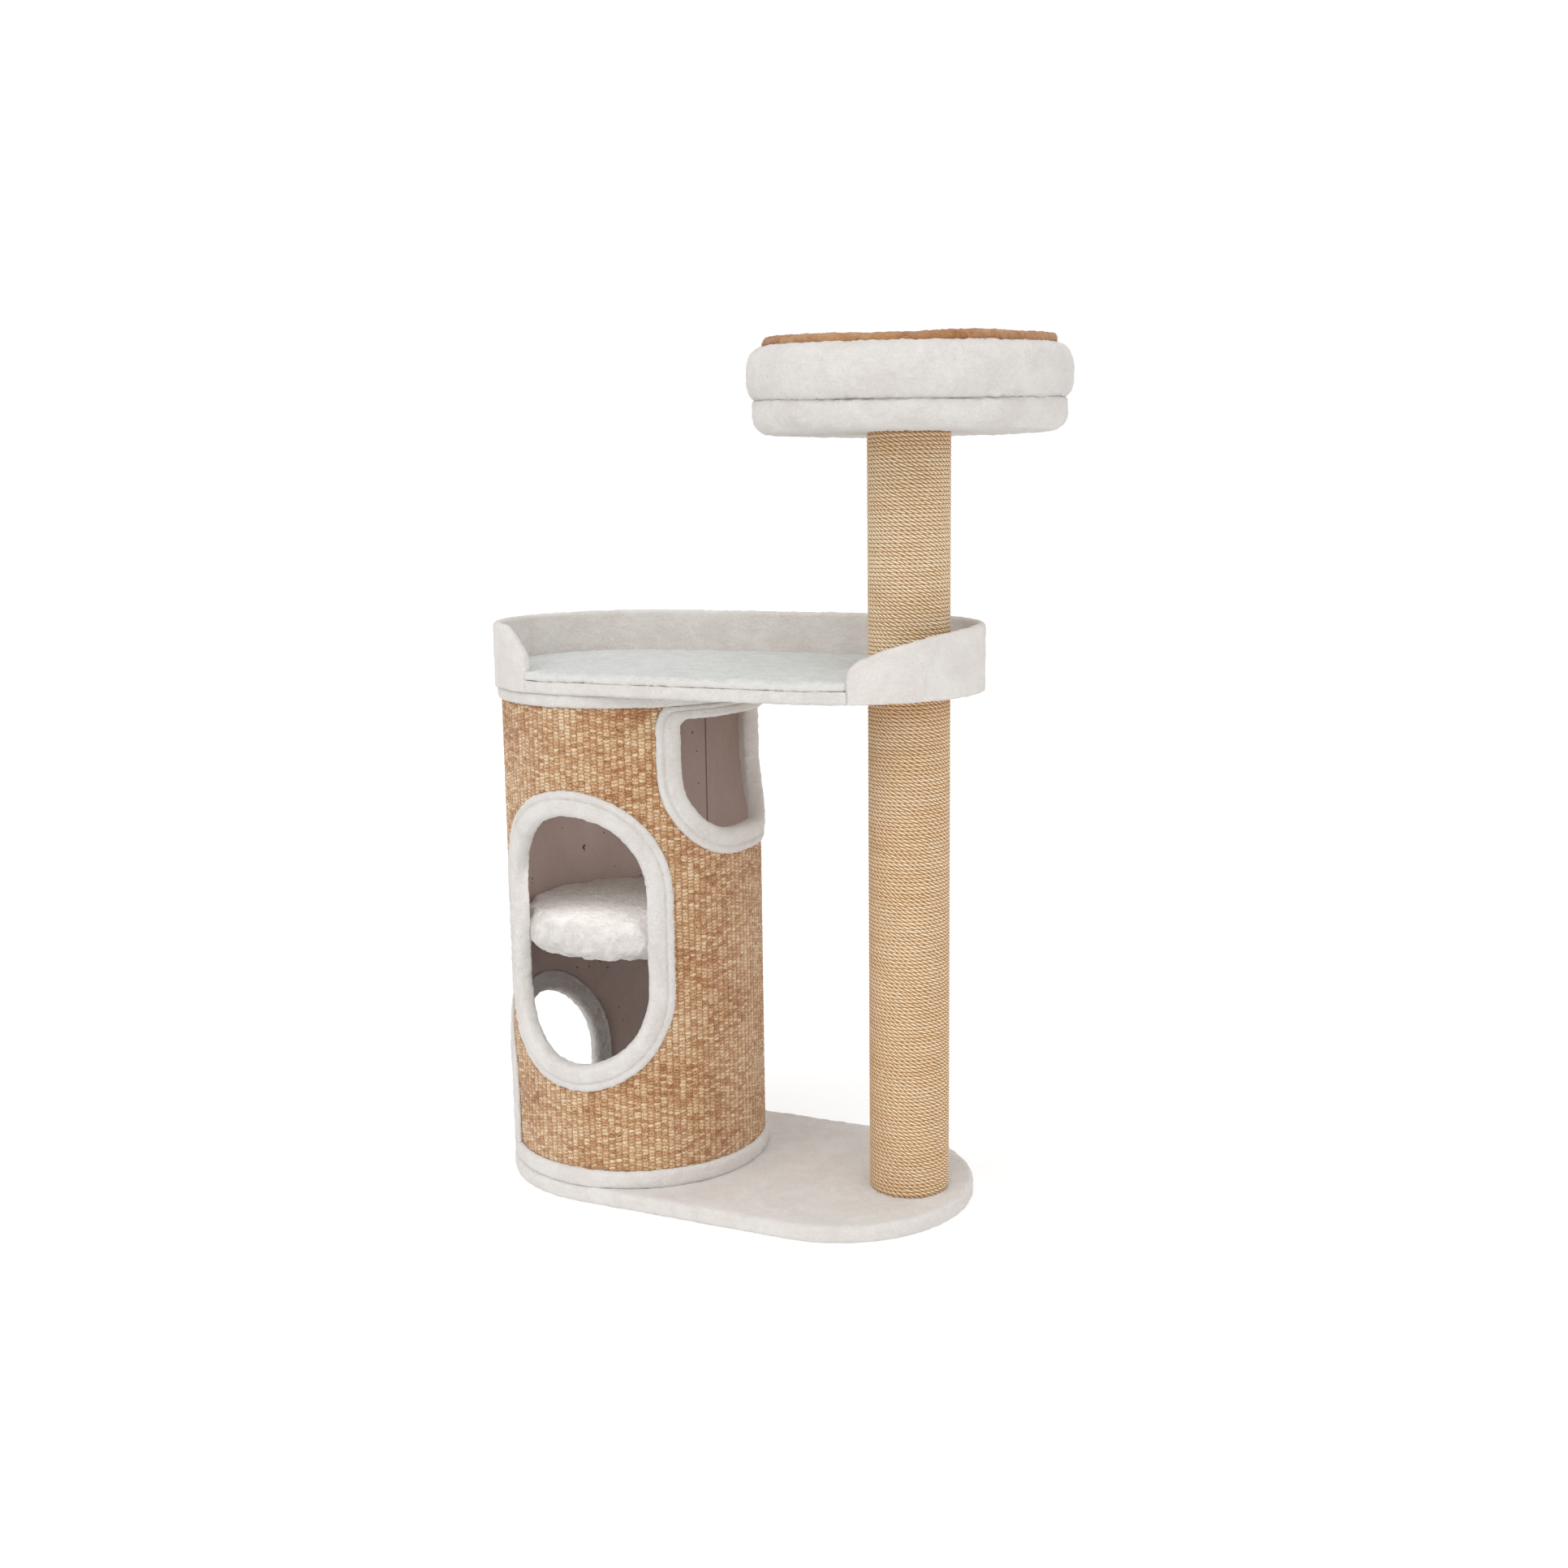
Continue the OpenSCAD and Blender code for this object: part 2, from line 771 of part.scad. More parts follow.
// Section of the bolster: a squarish ellipse
module bolster_section() {
    polygon([
        for (i = [0 : 4 * corner_steps - 1])
            let (a = 90 * i / corner_steps, c = cos(a), s = sin(a)) [
                bolster_mid_r + bolster_w / 2 * sign(c) * pow(abs(c), 2 / bolster_power),
                bolster_mid_z + bolster_h / 2 * sign(s) * pow(abs(s), 2 / bolster_power)
            ]
    ]);
}

module bed_bolster() {
    color(plush) at_post() rotate_extrude() bolster_section();
}

liner_in_r = liner_r - liner_t;

module bed_liner() {
    color(brown) at_post() difference() {
        rotate_extrude() polygon(concat(
            [[0, liner_z], [liner_r, liner_z], [liner_r, liner_rim_z]],
            [[liner_rim_d / 2 - liner_t / 2, liner_rim_z]],
            arc_points(liner_rim_d / 2 - liner_t / 2, liner_rim_z + liner_t / 2, liner_t / 2, -90, 90),
            arc_points(liner_in_r + liner_t, liner_top - liner_t, liner_t, 90, 180),
            [[liner_in_r, liner_floor], [0, liner_floor]]
        ));
        translate([0, 0, liner_z + liner_skin]) cylinder(r = liner_in_r, h = liner_floor_t - 2 * liner_skin);
    }
}

module bed_liner_foam() {
    color(foam) at_post(liner_z + liner_skin) cylinder(r = liner_in_r, h = liner_floor_t - 2 * liner_skin);
}

base_board();
base_cover();
base_underlay();
barrel_shell();
barrel_lining();
lining_seam_tape();
sisal_cover();
barrel_bottom_board();
barrel_floor_mat();
barrel_top_board();
shelf_board();
shelf_foam();
shelf_cover();
front_opening_trim();
upper_opening_trim();
lower_opening_trim();
barrel_foot_band();
barrel_head_band();
lower_post_tube();
lower_post_bottom_plug();
lower_post_top_plug();
lower_post_rope();
upper_post_tube();
upper_post_bottom_plug();
upper_post_top_plug();
upper_post_rope();
post_inserts();
base_post_bolt();
base_post_washer();
platform_stud();
bed_bolt();
bed_washer();
platform_board();
platform_cover();
platform_mat();
rim_wall_core();
rim_wall_cover();
rim_wall_screws();
shelf_screws();
barrel_hoop_screws();
barrel_base_screws();
barrel_platform_screws();
bed_board();
bed_pad_cover();
bed_pad_foam();
bed_bolster();
bed_liner();
bed_liner_foam();
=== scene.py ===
"""Looks of the cat tree, worked round its CAD model.

Every size is in metres, in the CAD frame: origin at the centre of the base's underside, +X from the barrel
to the post, -Y to the front, +Z up. Sections follow the tree as it is put together, from the base up to
the bed.
"""

import math

import bmesh
import bpy
import numpy as np
from mathutils import Matrix, Vector


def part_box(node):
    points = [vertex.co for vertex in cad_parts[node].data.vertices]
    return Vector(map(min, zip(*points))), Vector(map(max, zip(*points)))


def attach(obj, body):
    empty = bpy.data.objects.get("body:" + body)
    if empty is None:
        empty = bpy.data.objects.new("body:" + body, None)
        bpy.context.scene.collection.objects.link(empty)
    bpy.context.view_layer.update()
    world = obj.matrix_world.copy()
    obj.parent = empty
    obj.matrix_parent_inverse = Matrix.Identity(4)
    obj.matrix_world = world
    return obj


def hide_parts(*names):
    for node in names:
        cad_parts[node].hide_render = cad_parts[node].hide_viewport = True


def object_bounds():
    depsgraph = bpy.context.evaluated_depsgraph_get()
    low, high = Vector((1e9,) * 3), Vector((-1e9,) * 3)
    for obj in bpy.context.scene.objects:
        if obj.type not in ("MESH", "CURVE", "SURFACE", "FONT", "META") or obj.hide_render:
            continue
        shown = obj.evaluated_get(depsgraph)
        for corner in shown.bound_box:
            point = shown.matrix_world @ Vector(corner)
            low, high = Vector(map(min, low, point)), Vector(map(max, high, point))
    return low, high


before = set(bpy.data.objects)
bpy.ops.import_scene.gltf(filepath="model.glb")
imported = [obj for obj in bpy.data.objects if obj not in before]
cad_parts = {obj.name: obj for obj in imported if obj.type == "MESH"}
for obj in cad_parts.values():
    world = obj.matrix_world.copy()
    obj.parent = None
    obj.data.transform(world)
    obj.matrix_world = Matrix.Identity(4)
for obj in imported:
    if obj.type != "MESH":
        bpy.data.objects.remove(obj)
cad_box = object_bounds()
scene = bpy.context.scene


# ---- Camera ----
# A person in front of the tree and a little to its post side, with the eye between the platform and the bed.

eye = Vector((1.1620, -2.3395, 1.0628))
looks_at = Vector((0.0877, 0.0, 0.6285))
head_tilt = math.radians(-0.724)

away = (eye - looks_at).normalized()
level = Vector((0, 0, 1)).cross(away).normalized()
upright = away.cross(level)
camera = bpy.data.objects.new("camera", bpy.data.cameras.new("camera"))
camera.data.lens = 39.654
camera.data.sensor_width = 36
camera.data.clip_end = 200
camera.matrix_world = Matrix.Translation(eye) @ Matrix((
    math.cos(head_tilt) * level + math.sin(head_tilt) * upright,
    math.cos(head_tilt) * upright - math.sin(head_tilt) * level,
    away,
)).transposed().to_4x4()
scene.collection.objects.link(camera)
scene.camera = camera


# ---- Studio ----
# A white room: an even white sky all round, one broad soft light high on the left of the front,
# a weaker one on the right, and a wide floor of white glass, lit from below.

def node(tree, kind, inputs=None, **settings):
    """Adds one node. Each input is given a plain value, or another node's output to read."""
    added = tree.nodes.new("ShaderNode" + kind)
    for name, value in settings.items():
        setattr(added, name, value)
    for name, value in (inputs or {}).items():
        if isinstance(value, bpy.types.NodeSocket):
            tree.links.new(value, added.inputs[name])
        else:
            added.inputs[name].default_value = value
    return added


SKY_LIGHT = 0.82
SKY_SEEN = 1.02
FLOOR_REACH = 60.0

sky = bpy.data.worlds.new("sky")
scene.world = sky
sky.use_nodes = True
sky.node_tree.nodes.clear()
seen = node(sky.node_tree, "LightPath")
strength = node(sky.node_tree, "MapRange", {
    "Value": seen.outputs["Is Camera Ray"], "To Min": SKY_LIGHT, "To Max": SKY_SEEN,
})
background = node(sky.node_tree, "Background", {
    "Color": (1, 1, 1, 1), "Strength": strength.outputs["Result"],
})
node(sky.node_tree, "OutputWorld", {"Surface": background.outputs["Background"]})
scene.view_settings.view_transform = "Standard"


def soft_light(name, towards, height, strength, softness):
    """A far, soft light: it comes from a side, an angle from the front towards the post, and a height above
    the floor, all in degrees."""
    lamp = bpy.data.objects.new(name, bpy.data.lights.new(name, "SUN"))
    lamp.data.energy = strength
    lamp.data.angle = math.radians(softness)
    side, rise = math.radians(towards), math.radians(height)
    comes_from = Vector((math.sin(side) * math.cos(rise), -math.cos(side) * math.cos(rise), math.sin(rise)))
    lamp.rotation_euler = comes_from.to_track_quat("Z", "Y").to_euler()
    scene.collection.objects.link(lamp)


soft_light("key_light", -28, 36, 0.47, 35)
soft_light("fill_light", 58, 28, 0.34, 40)
soft_light("top_light", 5, 68, 0.58, 50)

# A small card held in the barrel's mouth lights the shelf and the lining behind it
card = bpy.data.objects.new("mouth_card", bpy.data.lights.new("mouth_card", "AREA"))
card.data.shape = "RECTANGLE"
card.data.size, card.data.size_y = 0.16, 0.10
card.data.energy = 0.15
card.location = (-0.173, -0.160, 0.510)
card.rotation_euler = Vector((0, -1, 0.35)).to_track_quat("Z", "Y").to_euler()
card.visible_camera = False
scene.collection.objects.link(card)

floor_mesh = bpy.data.meshes.new("floor")
floor_mesh.from_pydata(
    [(-FLOOR_REACH, -FLOOR_REACH, 0), (FLOOR_REACH, -FLOOR_REACH, 0),
     (FLOOR_REACH, FLOOR_REACH, 0), (-FLOOR_REACH, FLOOR_REACH, 0)], [], [(0, 1, 2, 3)])
floor = bpy.data.objects.new("floor", floor_mesh)
floor.location.z = cad_box[0][2] - 0.0005
scene.collection.objects.link(floor)

white_glass = bpy.data.materials.new("white_glass")
white_glass.use_nodes = True
glass = white_glass.node_tree.nodes["Principled BSDF"].inputs
glass["Base Color"].default_value = (0.5, 0.5, 0.5, 1)
glass["Roughness"].default_value = 0.9
glass["Emission Color"].default_value = (1, 1, 1, 1)
glass["Emission Strength"].default_value = 0.545
floor_mesh.materials.append(white_glass)


# ---- Base ----
# A chipboard stadium, with plush glued over its top and edge and a felt sheet under it.
# The plush is drawn tight over the edge and stapled below, so its edge is full and round.

def soft_noise(points, size, seed):
    """Random numbers from -1 to 1 at the corners of a cubic lattice of the given size, eased between them."""
    place = points / size + 4096.0
    cell = np.floor(place).astype(np.uint64)
    part = place - np.floor(place)
    part = part * part * (3 - 2 * part)
    total = np.zeros(len(points))
    for corner in np.ndindex(2, 2, 2):
        at = cell + np.array(corner, np.uint64)
        mixed = at[:, 0] * np.uint64(73856093) ^ at[:, 1] * np.uint64(19349663)
        mixed ^= at[:, 2] * np.uint64(83492791) ^ np.uint64(seed * 2654435761)
        mixed = (mixed ^ (mixed >> np.uint64(15))) * np.uint64(2246822519)
        mixed = (mixed ^ (mixed >> np.uint64(13))) * np.uint64(3266489917)
        value = (mixed >> np.uint64(16) & np.uint64(65535)) / 32767.5 - 1
        total += value * np.prod(np.where(corner, part, 1 - part), axis=1)
    return total


def points_of(mesh, what="co"):
    """The places or normals of a mesh's points, as an array of three columns."""
    found = np.empty(len(mesh.vertices) * 3, np.float32)
    mesh.vertices.foreach_get(what, found)
    return found.reshape(-1, 3).astype(float)


def put_points(mesh, points):
    """Gives a mesh's points new places."""
    mesh.vertices.foreach_set("co", points.astype(np.float32).ravel())
    mesh.update()


def grid_faces(rows, columns, closed_rows=False, closed_columns=True):
    """Quads between neighbours on a grid of points numbered row by row."""
    row = np.arange(rows - (not closed_rows))[:, None]
    column = np.arange(columns - (not closed_columns))[None, :]
    next_row, next_column = (row + 1) % rows, (column + 1) % columns
    return np.stack([
        row * columns + column, row * columns + next_column,
        next_row * columns + next_column, next_row * columns + column,
    ], -1).reshape(-1, 4)


def spaced(corners, step):
    """A polyline walked in equal steps, each about the given length."""
    corners = np.array(corners, float)
    length = np.r_[0, np.cumsum(np.linalg.norm(np.diff(corners, axis=0), axis=1))]
    stops = np.linspace(0, length[-1], int(round(length[-1] / step)) + 1)
    return np.stack([np.interp(stops, length, corners[:, i]) for i in range(corners.shape[1])], -1)


def close_up(mesh):
    """Joins points that coincide at seams and poles, drops faces without area, and turns faces outwards."""
    shape = bmesh.new()
    shape.from_mesh(mesh)
    bmesh.ops.remove_doubles(shape, verts=shape.verts, dist=1e-6)
    bmesh.ops.dissolve_degenerate(shape, edges=shape.edges, dist=1e-7)
    bmesh.ops.recalc_face_normals(shape, faces=shape.faces)
    shape.to_mesh(mesh)
    shape.free()


def make_piece(name, points, faces, slot, stands_for, body="tree"):
    """A smooth closed piece from points and faces, riding on a body in place of its CAD node."""
    mesh = bpy.data.meshes.new(name)
    mesh.from_pydata(np.asarray(points).tolist(), [], [list(face) for face in faces])
    close_up(mesh)
    mesh.polygons.foreach_set("use_smooth", np.ones(len(mesh.polygons), bool))
    piece = bpy.data.objects.new(name, mesh)
    scene.collection.objects.link(piece)
    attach(piece, body)
    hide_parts(stands_for)
    return piece


def raise_pile(piece, height, seed):
    """Moves each point along its normal by soft noise of three sizes: brushed patches, tufts and locks."""
    points, normals = points_of(piece.data), points_of(piece.data, "normal")
    lift = 0.35 * soft_noise(points, 0.022, seed)
    lift += 0.50 * soft_noise(points, 0.0075, seed + 1)
    lift += 0.65 * soft_noise(points, 0.0042, seed + 2)
    put_points(piece.data, points + normals * (height * (lift + 0.5))[:, None])


def round_ended(profile, left, right, radius, step, pull=None):
    """A pad with two round ends, whose columns run round its outline and rows along its profile. Each point
    is level with its profile point and lies radius - inset away from the line between the end centres; pull
    draws a column in by that share of its distance."""
    arc = np.linspace(-math.pi / 2, math.pi / 2, int(math.pi * radius / step) + 1)[:-1]
    run = np.linspace(0, 1, max(int((right - left) / step), 1) + 1)[:-1]
    centre = np.concatenate([
        np.full(len(arc), right), right + (left - right) * run,
        np.full(len(arc), left), left + (right - left) * run,
    ])
    angle = np.concatenate([
        arc, np.full(len(run), math.pi / 2), arc + math.pi, np.full(len(run), -math.pi / 2),
    ])
    out = (radius - profile[:, :1]) * (1 - (pull(centre, angle) if pull else np.zeros(len(centre))))
    points = np.stack([
        centre + out * np.cos(angle), out * np.sin(angle), np.broadcast_to(profile[:, 1:], out.shape),
    ], -1)
    return points.reshape(-1, 3), grid_faces(*out.shape)


def group_of(name, inputs, outputs):
    """An empty node group with named inputs and outputs, and its two end nodes."""
    tree = bpy.data.node_groups.new(name, "ShaderNodeTree")
    for label, kind, value in inputs:
        socket = tree.interface.new_socket(label, in_out="INPUT", socket_type="NodeSocket" + kind)
        socket.default_value = value
    for label, kind in outputs:
        tree.interface.new_socket(label, in_out="OUTPUT", socket_type="NodeSocket" + kind)
    return tree, tree.nodes.new("NodeGroupInput"), tree.nodes.new("NodeGroupOutput")


def maths(tree, operation, first, second=0.0, third=0.0):
    """One sum, and its result."""
    return node(tree, "Math", {0: first, 1: second, 2: third}, operation=operation).outputs[0]


def vector_maths(tree, operation, first, second, result="Vector"):
    """One sum of two vectors, and its result."""
    return node(tree, "VectorMath", {0: first, 1: second}, operation=operation).outputs[result]


def ramped(tree, value, low, high, to_low=0.0, to_high=1.0):
    """A value carried in a straight line from one range to another, and held at both ends."""
    return node(tree, "MapRange", {
        "Value": value, "From Min": low, "From Max": high, "To Min": to_low, "To Max": to_high,
    }).outputs["Result"]


def noise(tree, place, scale, detail, roughness=0.5, distortion=0.0):
    """Soft noise from 0 to 1, with finer noise added to it detail times over."""
    return node(tree, "TexNoise", {
        "Vector": place, "Scale": scale, "Detail": detail, "Roughness": roughness, "Distortion": distortion,
    }).outputs["Fac"]


def blended(tree, share, first, second, **settings):
    """A colour on the way from the first to the second, by share."""
    return node(tree, "Mix", {"Factor": share, 6: first, 7: second}, data_type="RGBA", **settings).outputs[2]


# Fibres of any kind: broad patches where they lie one way or the other, and the fine strands themselves.
fibres, given, result = group_of("fibres", [
    ("Light", "Color", (0.8, 0.8, 0.8, 1)), ("Shade", "Color", (0.6, 0.6, 0.6, 1)),
    ("Patches", "Float", 20.0), ("Strands", "Float", 400.0), ("Stretch", "Vector", (1, 1, 1)),
    ("Contrast", "Float", 1.0),
], [("Color", "Color"), ("Height", "Float")])
place = node(fibres, "TexCoord").outputs["Object"]
drawn = vector_maths(fibres, "MULTIPLY", place, given.outputs["Stretch"])
patchy = ramped(fibres, noise(fibres, drawn, given.outputs["Patches"], 3.0, 0.6, 0.6), 0.36, 0.64)
fine = ramped(fibres, noise(fibres, drawn, given.outputs["Strands"], 4.0, 0.7), 0.3, 0.7)
dark = maths(fibres, "MULTIPLY_ADD", patchy, 0.5, maths(fibres, "MULTIPLY", fine, 0.5))
dark = maths(fibres, "MULTIPLY", dark, given.outputs["Contrast"])
shown = blended(fibres, dark, given.outputs["Light"], given.outputs["Shade"], clamp_factor=True)
fibres.links.new(shown, result.inputs["Color"])
fibres.links.new(maths(fibres, "MULTIPLY_ADD", patchy, 0.2, fine), result.inputs["Height"])


def finish_of(name, roughness, **shader):
    """A new material, with its node tree, its shader and the plain values that are the same all over it."""
    finish = bpy.data.materials.new(name)
    finish.use_nodes = True
    surface = finish.node_tree.nodes["Principled BSDF"]
    surface.inputs["Roughness"].default_value = roughness
    for label, value in shader.items():
        surface.inputs[label.replace("_", " ")].default_value = value
    return finish, finish.node_tree, surface


def fibre_finish(
        name, light, shade, patch, strand, depth, roughness=0.95, stretch=(1, 1, 1), contrast=1.0, **shader):
    """A finish made of fibres: patch and strand are their sizes, and depth is how far they stand out."""
    finish, tree, surface = finish_of(name, roughness, **shader)
    made = node(tree, "Group", node_tree=fibres)
    made.inputs["Light"].default_value = (*light, 1)
    made.inputs["Shade"].default_value = (*shade, 1)
    made.inputs["Patches"].default_value = 1 / patch
    made.inputs["Strands"].default_value = 1 / strand
    made.inputs["Stretch"].default_value = stretch
    made.inputs["Contrast"].default_value = contrast
    bump = node(tree, "Bump", {"Height": made.outputs["Height"], "Distance": depth, "Strength": 1.0})
    tree.links.new(made.outputs["Color"], surface.inputs["Base Color"])
    tree.links.new(bump.outputs["Normal"], surface.inputs["Normal"])
    return finish


PLUSH = {"Sheen_Weight": 0.35, "Sheen_Roughness": 0.4, "Specular_IOR_Level": 0.15}
cream_plush = fibre_finish(
    "cream_plush", (0.90, 0.875, 0.84), (0.77, 0.715, 0.675), 0.045, 0.0034, 0.0016, **PLUSH)
chipboard = fibre_finish(
    "chipboard", (0.60, 0.44, 0.27), (0.42, 0.28, 0.15), 0.012, 0.0025, 0.0002, 0.8, contrast=1.3)
grey_felt = fibre_finish("grey_felt", (0.085, 0.085, 0.09), (0.045, 0.045, 0.05), 0.02, 0.0016, 0.0006)


def coat(finish, *names):
    """Gives CAD nodes their finish."""
    for name in names:
        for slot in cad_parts[name].material_slots:
            slot.material = finish


def dress(piece, finish):
    """Gives a new piece its finish."""
    piece.data.materials.clear()
    piece.data.materials.append(finish)
    return piece


base_low, base_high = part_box("base_cover")
base_r = (base_high.y - base_low.y) / 2
base_run = base_high.x - base_r
board_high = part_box("base_board")[1].z
plush_t = base_high.z - board_high
# The edge's rounding, the air under the plush, and the step between its points
edge, gap, pitch = 0.0075, 0.0004, 0.003
turn = np.radians(np.linspace(90, 0, 6))
base_profile = np.concatenate([
    spaced([(base_r, base_high.z), (edge, base_high.z)], pitch),
    np.stack([edge - edge * np.cos(turn), base_high.z - edge + edge * np.sin(turn)], -1)[1:],
    spaced([(0, base_high.z - edge), (0, 0.003), (0.0015, gap), (plush_t, gap)], pitch)[1:],
    [(plush_t, board_high), (base_r * 0.6, board_high), (base_r, board_high)],
])
base_plush = make_piece(
    "base_plush", *round_ended(base_profile, -base_run, base_run, base_r, pitch), "plush_cream", "base_cover")
raise_pile(base_plush, 0.0011, 11)
# The floor presses the pile flat
settled = points_of(base_plush.data)
settled[:, 2] = np.maximum(settled[:, 2], gap / 2)
put_points(base_plush.data, settled)
dress(base_plush, cream_plush)
coat(chipboard, "base_board")
coat(grey_felt, "base_underlay")


# ---- Barrel wall ----
# A thick board tube, lined with a mauve paper-like cloth glued on, with tape over the lining's seam,
# and round boards screwed into it at the foot and the head.

barrel_low, barrel_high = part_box("sisal_cover")
barrel_x = (barrel_low.x + barrel_high.x) / 2
sisal_r = (barrel_high.x - barrel_low.x) / 2
sisal_low, sisal_high = barrel_low.z, barrel_high.z
shell_low, shell_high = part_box("barrel_shell")
shell_r = (shell_high.x - shell_low.x) / 2

kraft_card = fibre_finish(
    "kraft_card", (0.50, 0.34, 0.20), (0.38, 0.25, 0.14), 0.05, 0.003, 0.0002, 0.85, (1, 1, 0.25))
mauve_lining = fibre_finish(
    "mauve_lining", (0.63, 0.515, 0.475), (0.52, 0.415, 0.375), 0.09, 0.004, 0.0002, 0.8, (1, 1, 0.5))
tape_low, tape_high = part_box("lining_seam_tape")
tape_angle = math.atan2((tape_low.x + tape_high.x) / 2 - barrel_x, -(tape_low.y + tape_high.y) / 2)
tree, surface = mauve_lining.node_tree, mauve_lining.node_tree.nodes["Principled BSDF"]
place = node(tree, "TexCoord").outputs["Object"]
# A dark line down the tape's middle is painted shade, where the cloth's edges overlap, and a few dark fibres
# are pressed into it
from_axis = vector_maths(tree, "SUBTRACT", place, (barrel_x, 0, 0))
along_wall = (math.cos(tape_angle), math.sin(tape_angle), 0)
to_tape = (math.sin(tape_angle), -math.cos(tape_angle), 0)
aside = vector_maths(tree, "DOT_PRODUCT", from_axis, along_wall, "Value")
ahead = vector_maths(tree, "DOT_PRODUCT", from_axis, to_tape, "Value")
seam = ramped(tree, maths(tree, "ABSOLUTE", aside), 0.0006, 0.0022, 1.0, 0.0)
seam = maths(tree, "MULTIPLY", seam, maths(tree, "GREATER_THAN", ahead, 0.0))
specks = ramped(tree, noise(tree, place, 105.0, 1.0), 0.752, 0.785)
seam_shade_and_specks = maths(tree, "MAXIMUM", maths(tree, "MULTIPLY", seam, 0.75), specks)
plain = surface.inputs["Base Color"].links[0].from_socket
tree.links.new(blended(tree, seam_shade_and_specks, plain, (0.12, 0.06, 0.04, 1)), surface.inputs["Base Color"])
coat(kraft_card, "barrel_shell")
coat(mauve_lining, "barrel_lining", "lining_seam_tape")
coat(chipboard, "barrel_bottom_board", "barrel_top_board", "shelf_board")


# ---- Sisal cloth ----
# One sheet of coarse sisal, woven in upright ribs with the knots of one rib between those of the next,
# wrapped round the tube with its seam at the back, and cut out for three openings.

RIBS = 124
KNOTS = 138
# Half width, low, high, lower corner radius and upper corner radius of each opening in the unrolled face
FRONT = (0.120, 0.2125, 0.5965, 0.120, 0.120)
UPPER = (0.138, 0.564, 0.738, 0.100, 0.014)
LOWER = (0.122, 0.051, 0.253, 0.0, 0.122)
OPENINGS = ((FRONT, 0.0), (UPPER, math.pi / 2), (LOWER, -math.pi / 2))
UNDER_TRIM = 0.012
RIB_RISE = 0.0011


def on_barrel(along, height, radius):
    """Points on a cylinder round the barrel's axis. along is the angle from the front, towards the post."""
    return np.stack([barrel_x + radius * np.sin(along), -radius * np.cos(along), height], -1)


def outside_of(opening, across, height):
    """How far a point of the unrolled face is outside an opening's rounded outline."""
    half, low, high, low_r, high_r = opening
    middle = (low + high) / 2
    corner = np.where(height > middle, high_r, low_r)
    side = np.abs(across) - (half - corner)
    over = np.abs(height - middle) - ((high - low) / 2 - corner)
    return np.hypot(np.maximum(side, 0), np.maximum(over, 0)) + np.minimum(np.maximum(side, over), 0) - corner


columns = RIBS * 3
rows = KNOTS + 1
angle = np.linspace(0, 2 * math.pi, columns + 1)[None, :-1] + math.pi
height = np.linspace(sisal_low, sisal_high, rows)[:, None]
angle, height = np.broadcast_arrays(angle, height)
flat = on_barrel(angle, height, sisal_r).reshape(-1, 3)
rib = np.array([0.0, 1.0, 0.82])[np.arange(columns) % 3][None, :] * RIB_RISE
on_top = (np.arange(columns)[None, :] // 3 + np.arange(rows)[:, None]) % 2
uneven = 0.00045 * soft_noise(flat, 0.0065, 21).reshape(rows, columns)
rise = rib * (0.6 + 0.4 * on_top) - RIB_RISE * 0.8 + uneven
outer = on_barrel(angle, height, sisal_r + rise).reshape(-1, 3)
inner = on_barrel(angle, height, shell_r + 0.0002).reshape(-1, 3)

cell_angle = (angle + math.pi / columns)[:-1]
cell_height = (height[:-1] + height[1:]) / 2
kept = np.ones((rows - 1, columns), bool)
for opening, side in OPENINGS:
    turned = (cell_angle - side + math.pi) % (2 * math.pi) - math.pi
    kept &= outside_of(opening, turned * sisal_r, cell_height) > UNDER_TRIM
quads = grid_faces(rows, columns)
front_faces = quads[kept.ravel()]
back_faces = front_faces[:, ::-1] + rows * columns
edges_out = []
framed = np.pad(kept, ((1, 1), (0, 0)))
neighbours = (framed[:-2], np.roll(kept, -1, 1), framed[2:], np.roll(kept, 1, 1))
for corner, neighbour in enumerate(neighbours):
    rim = quads[(kept & ~neighbour).ravel()]
    first, second = rim[:, corner], rim[:, (corner + 1) % 4]
    edges_out.append(np.stack([second, first, first + rows * columns, second + rows * columns], -1))
faces = np.concatenate([front_faces, back_faces, *edges_out])
used, faces = np.unique(faces, return_inverse=True)
faces = faces.reshape(-1, 4)
sisal_cloth = make_piece(
    "sisal_cloth", np.concatenate([outer, inner])[used], faces, "sisal_weave", "sisal_cover")


def corners_of(mesh):
    """Each face corner's point, each face's first corner, and the number of each corner's face."""
    corners = np.empty(len(mesh.loops), np.int32)
    mesh.loops.foreach_get("vertex_index", corners)
    starts = np.empty(len(mesh.polygons), np.int32)
    mesh.polygons.foreach_get("loop_start", starts)
    owner = np.repeat(np.arange(len(starts)), np.diff(np.r_[starts, len(corners)]))
    return points_of(mesh)[corners], starts, owner


def past_seam(u, wrap, starts, owner):
    """Where a face straddles the seam, its low u values move up by wrap."""
    highest = np.maximum.reduceat(u, starts)[owner]
    return np.where(highest - u > wrap / 2, u + wrap, u)


def give_map(mesh, name, u, v):
    """Gives a mesh its own map, with one pair of values at each face corner."""
    mesh.uv_layers.new(name=name).data.foreach_set("uv", np.stack([u, v], -1).astype(np.float32).ravel())


# The cloth's own map: u is the distance round the barrel from the seam at the back, and v is the height
points, starts, owner = corners_of(sisal_cloth.data)
whole_turn = 2 * math.pi * sisal_r
arc = (np.arctan2(points[:, 0] - barrel_x, -points[:, 1]) + math.pi) % (2 * math.pi) * sisal_r
give_map(sisal_cloth.data, "weave", past_seam(arc, whole_turn, starts, owner), points[:, 2])


def half_round(tree, share):
    """A half round over one yarn or strand: the sine of half a turn by share."""
    return maths(tree, "SINE", maths(tree, "MULTIPLY", share, math.pi))


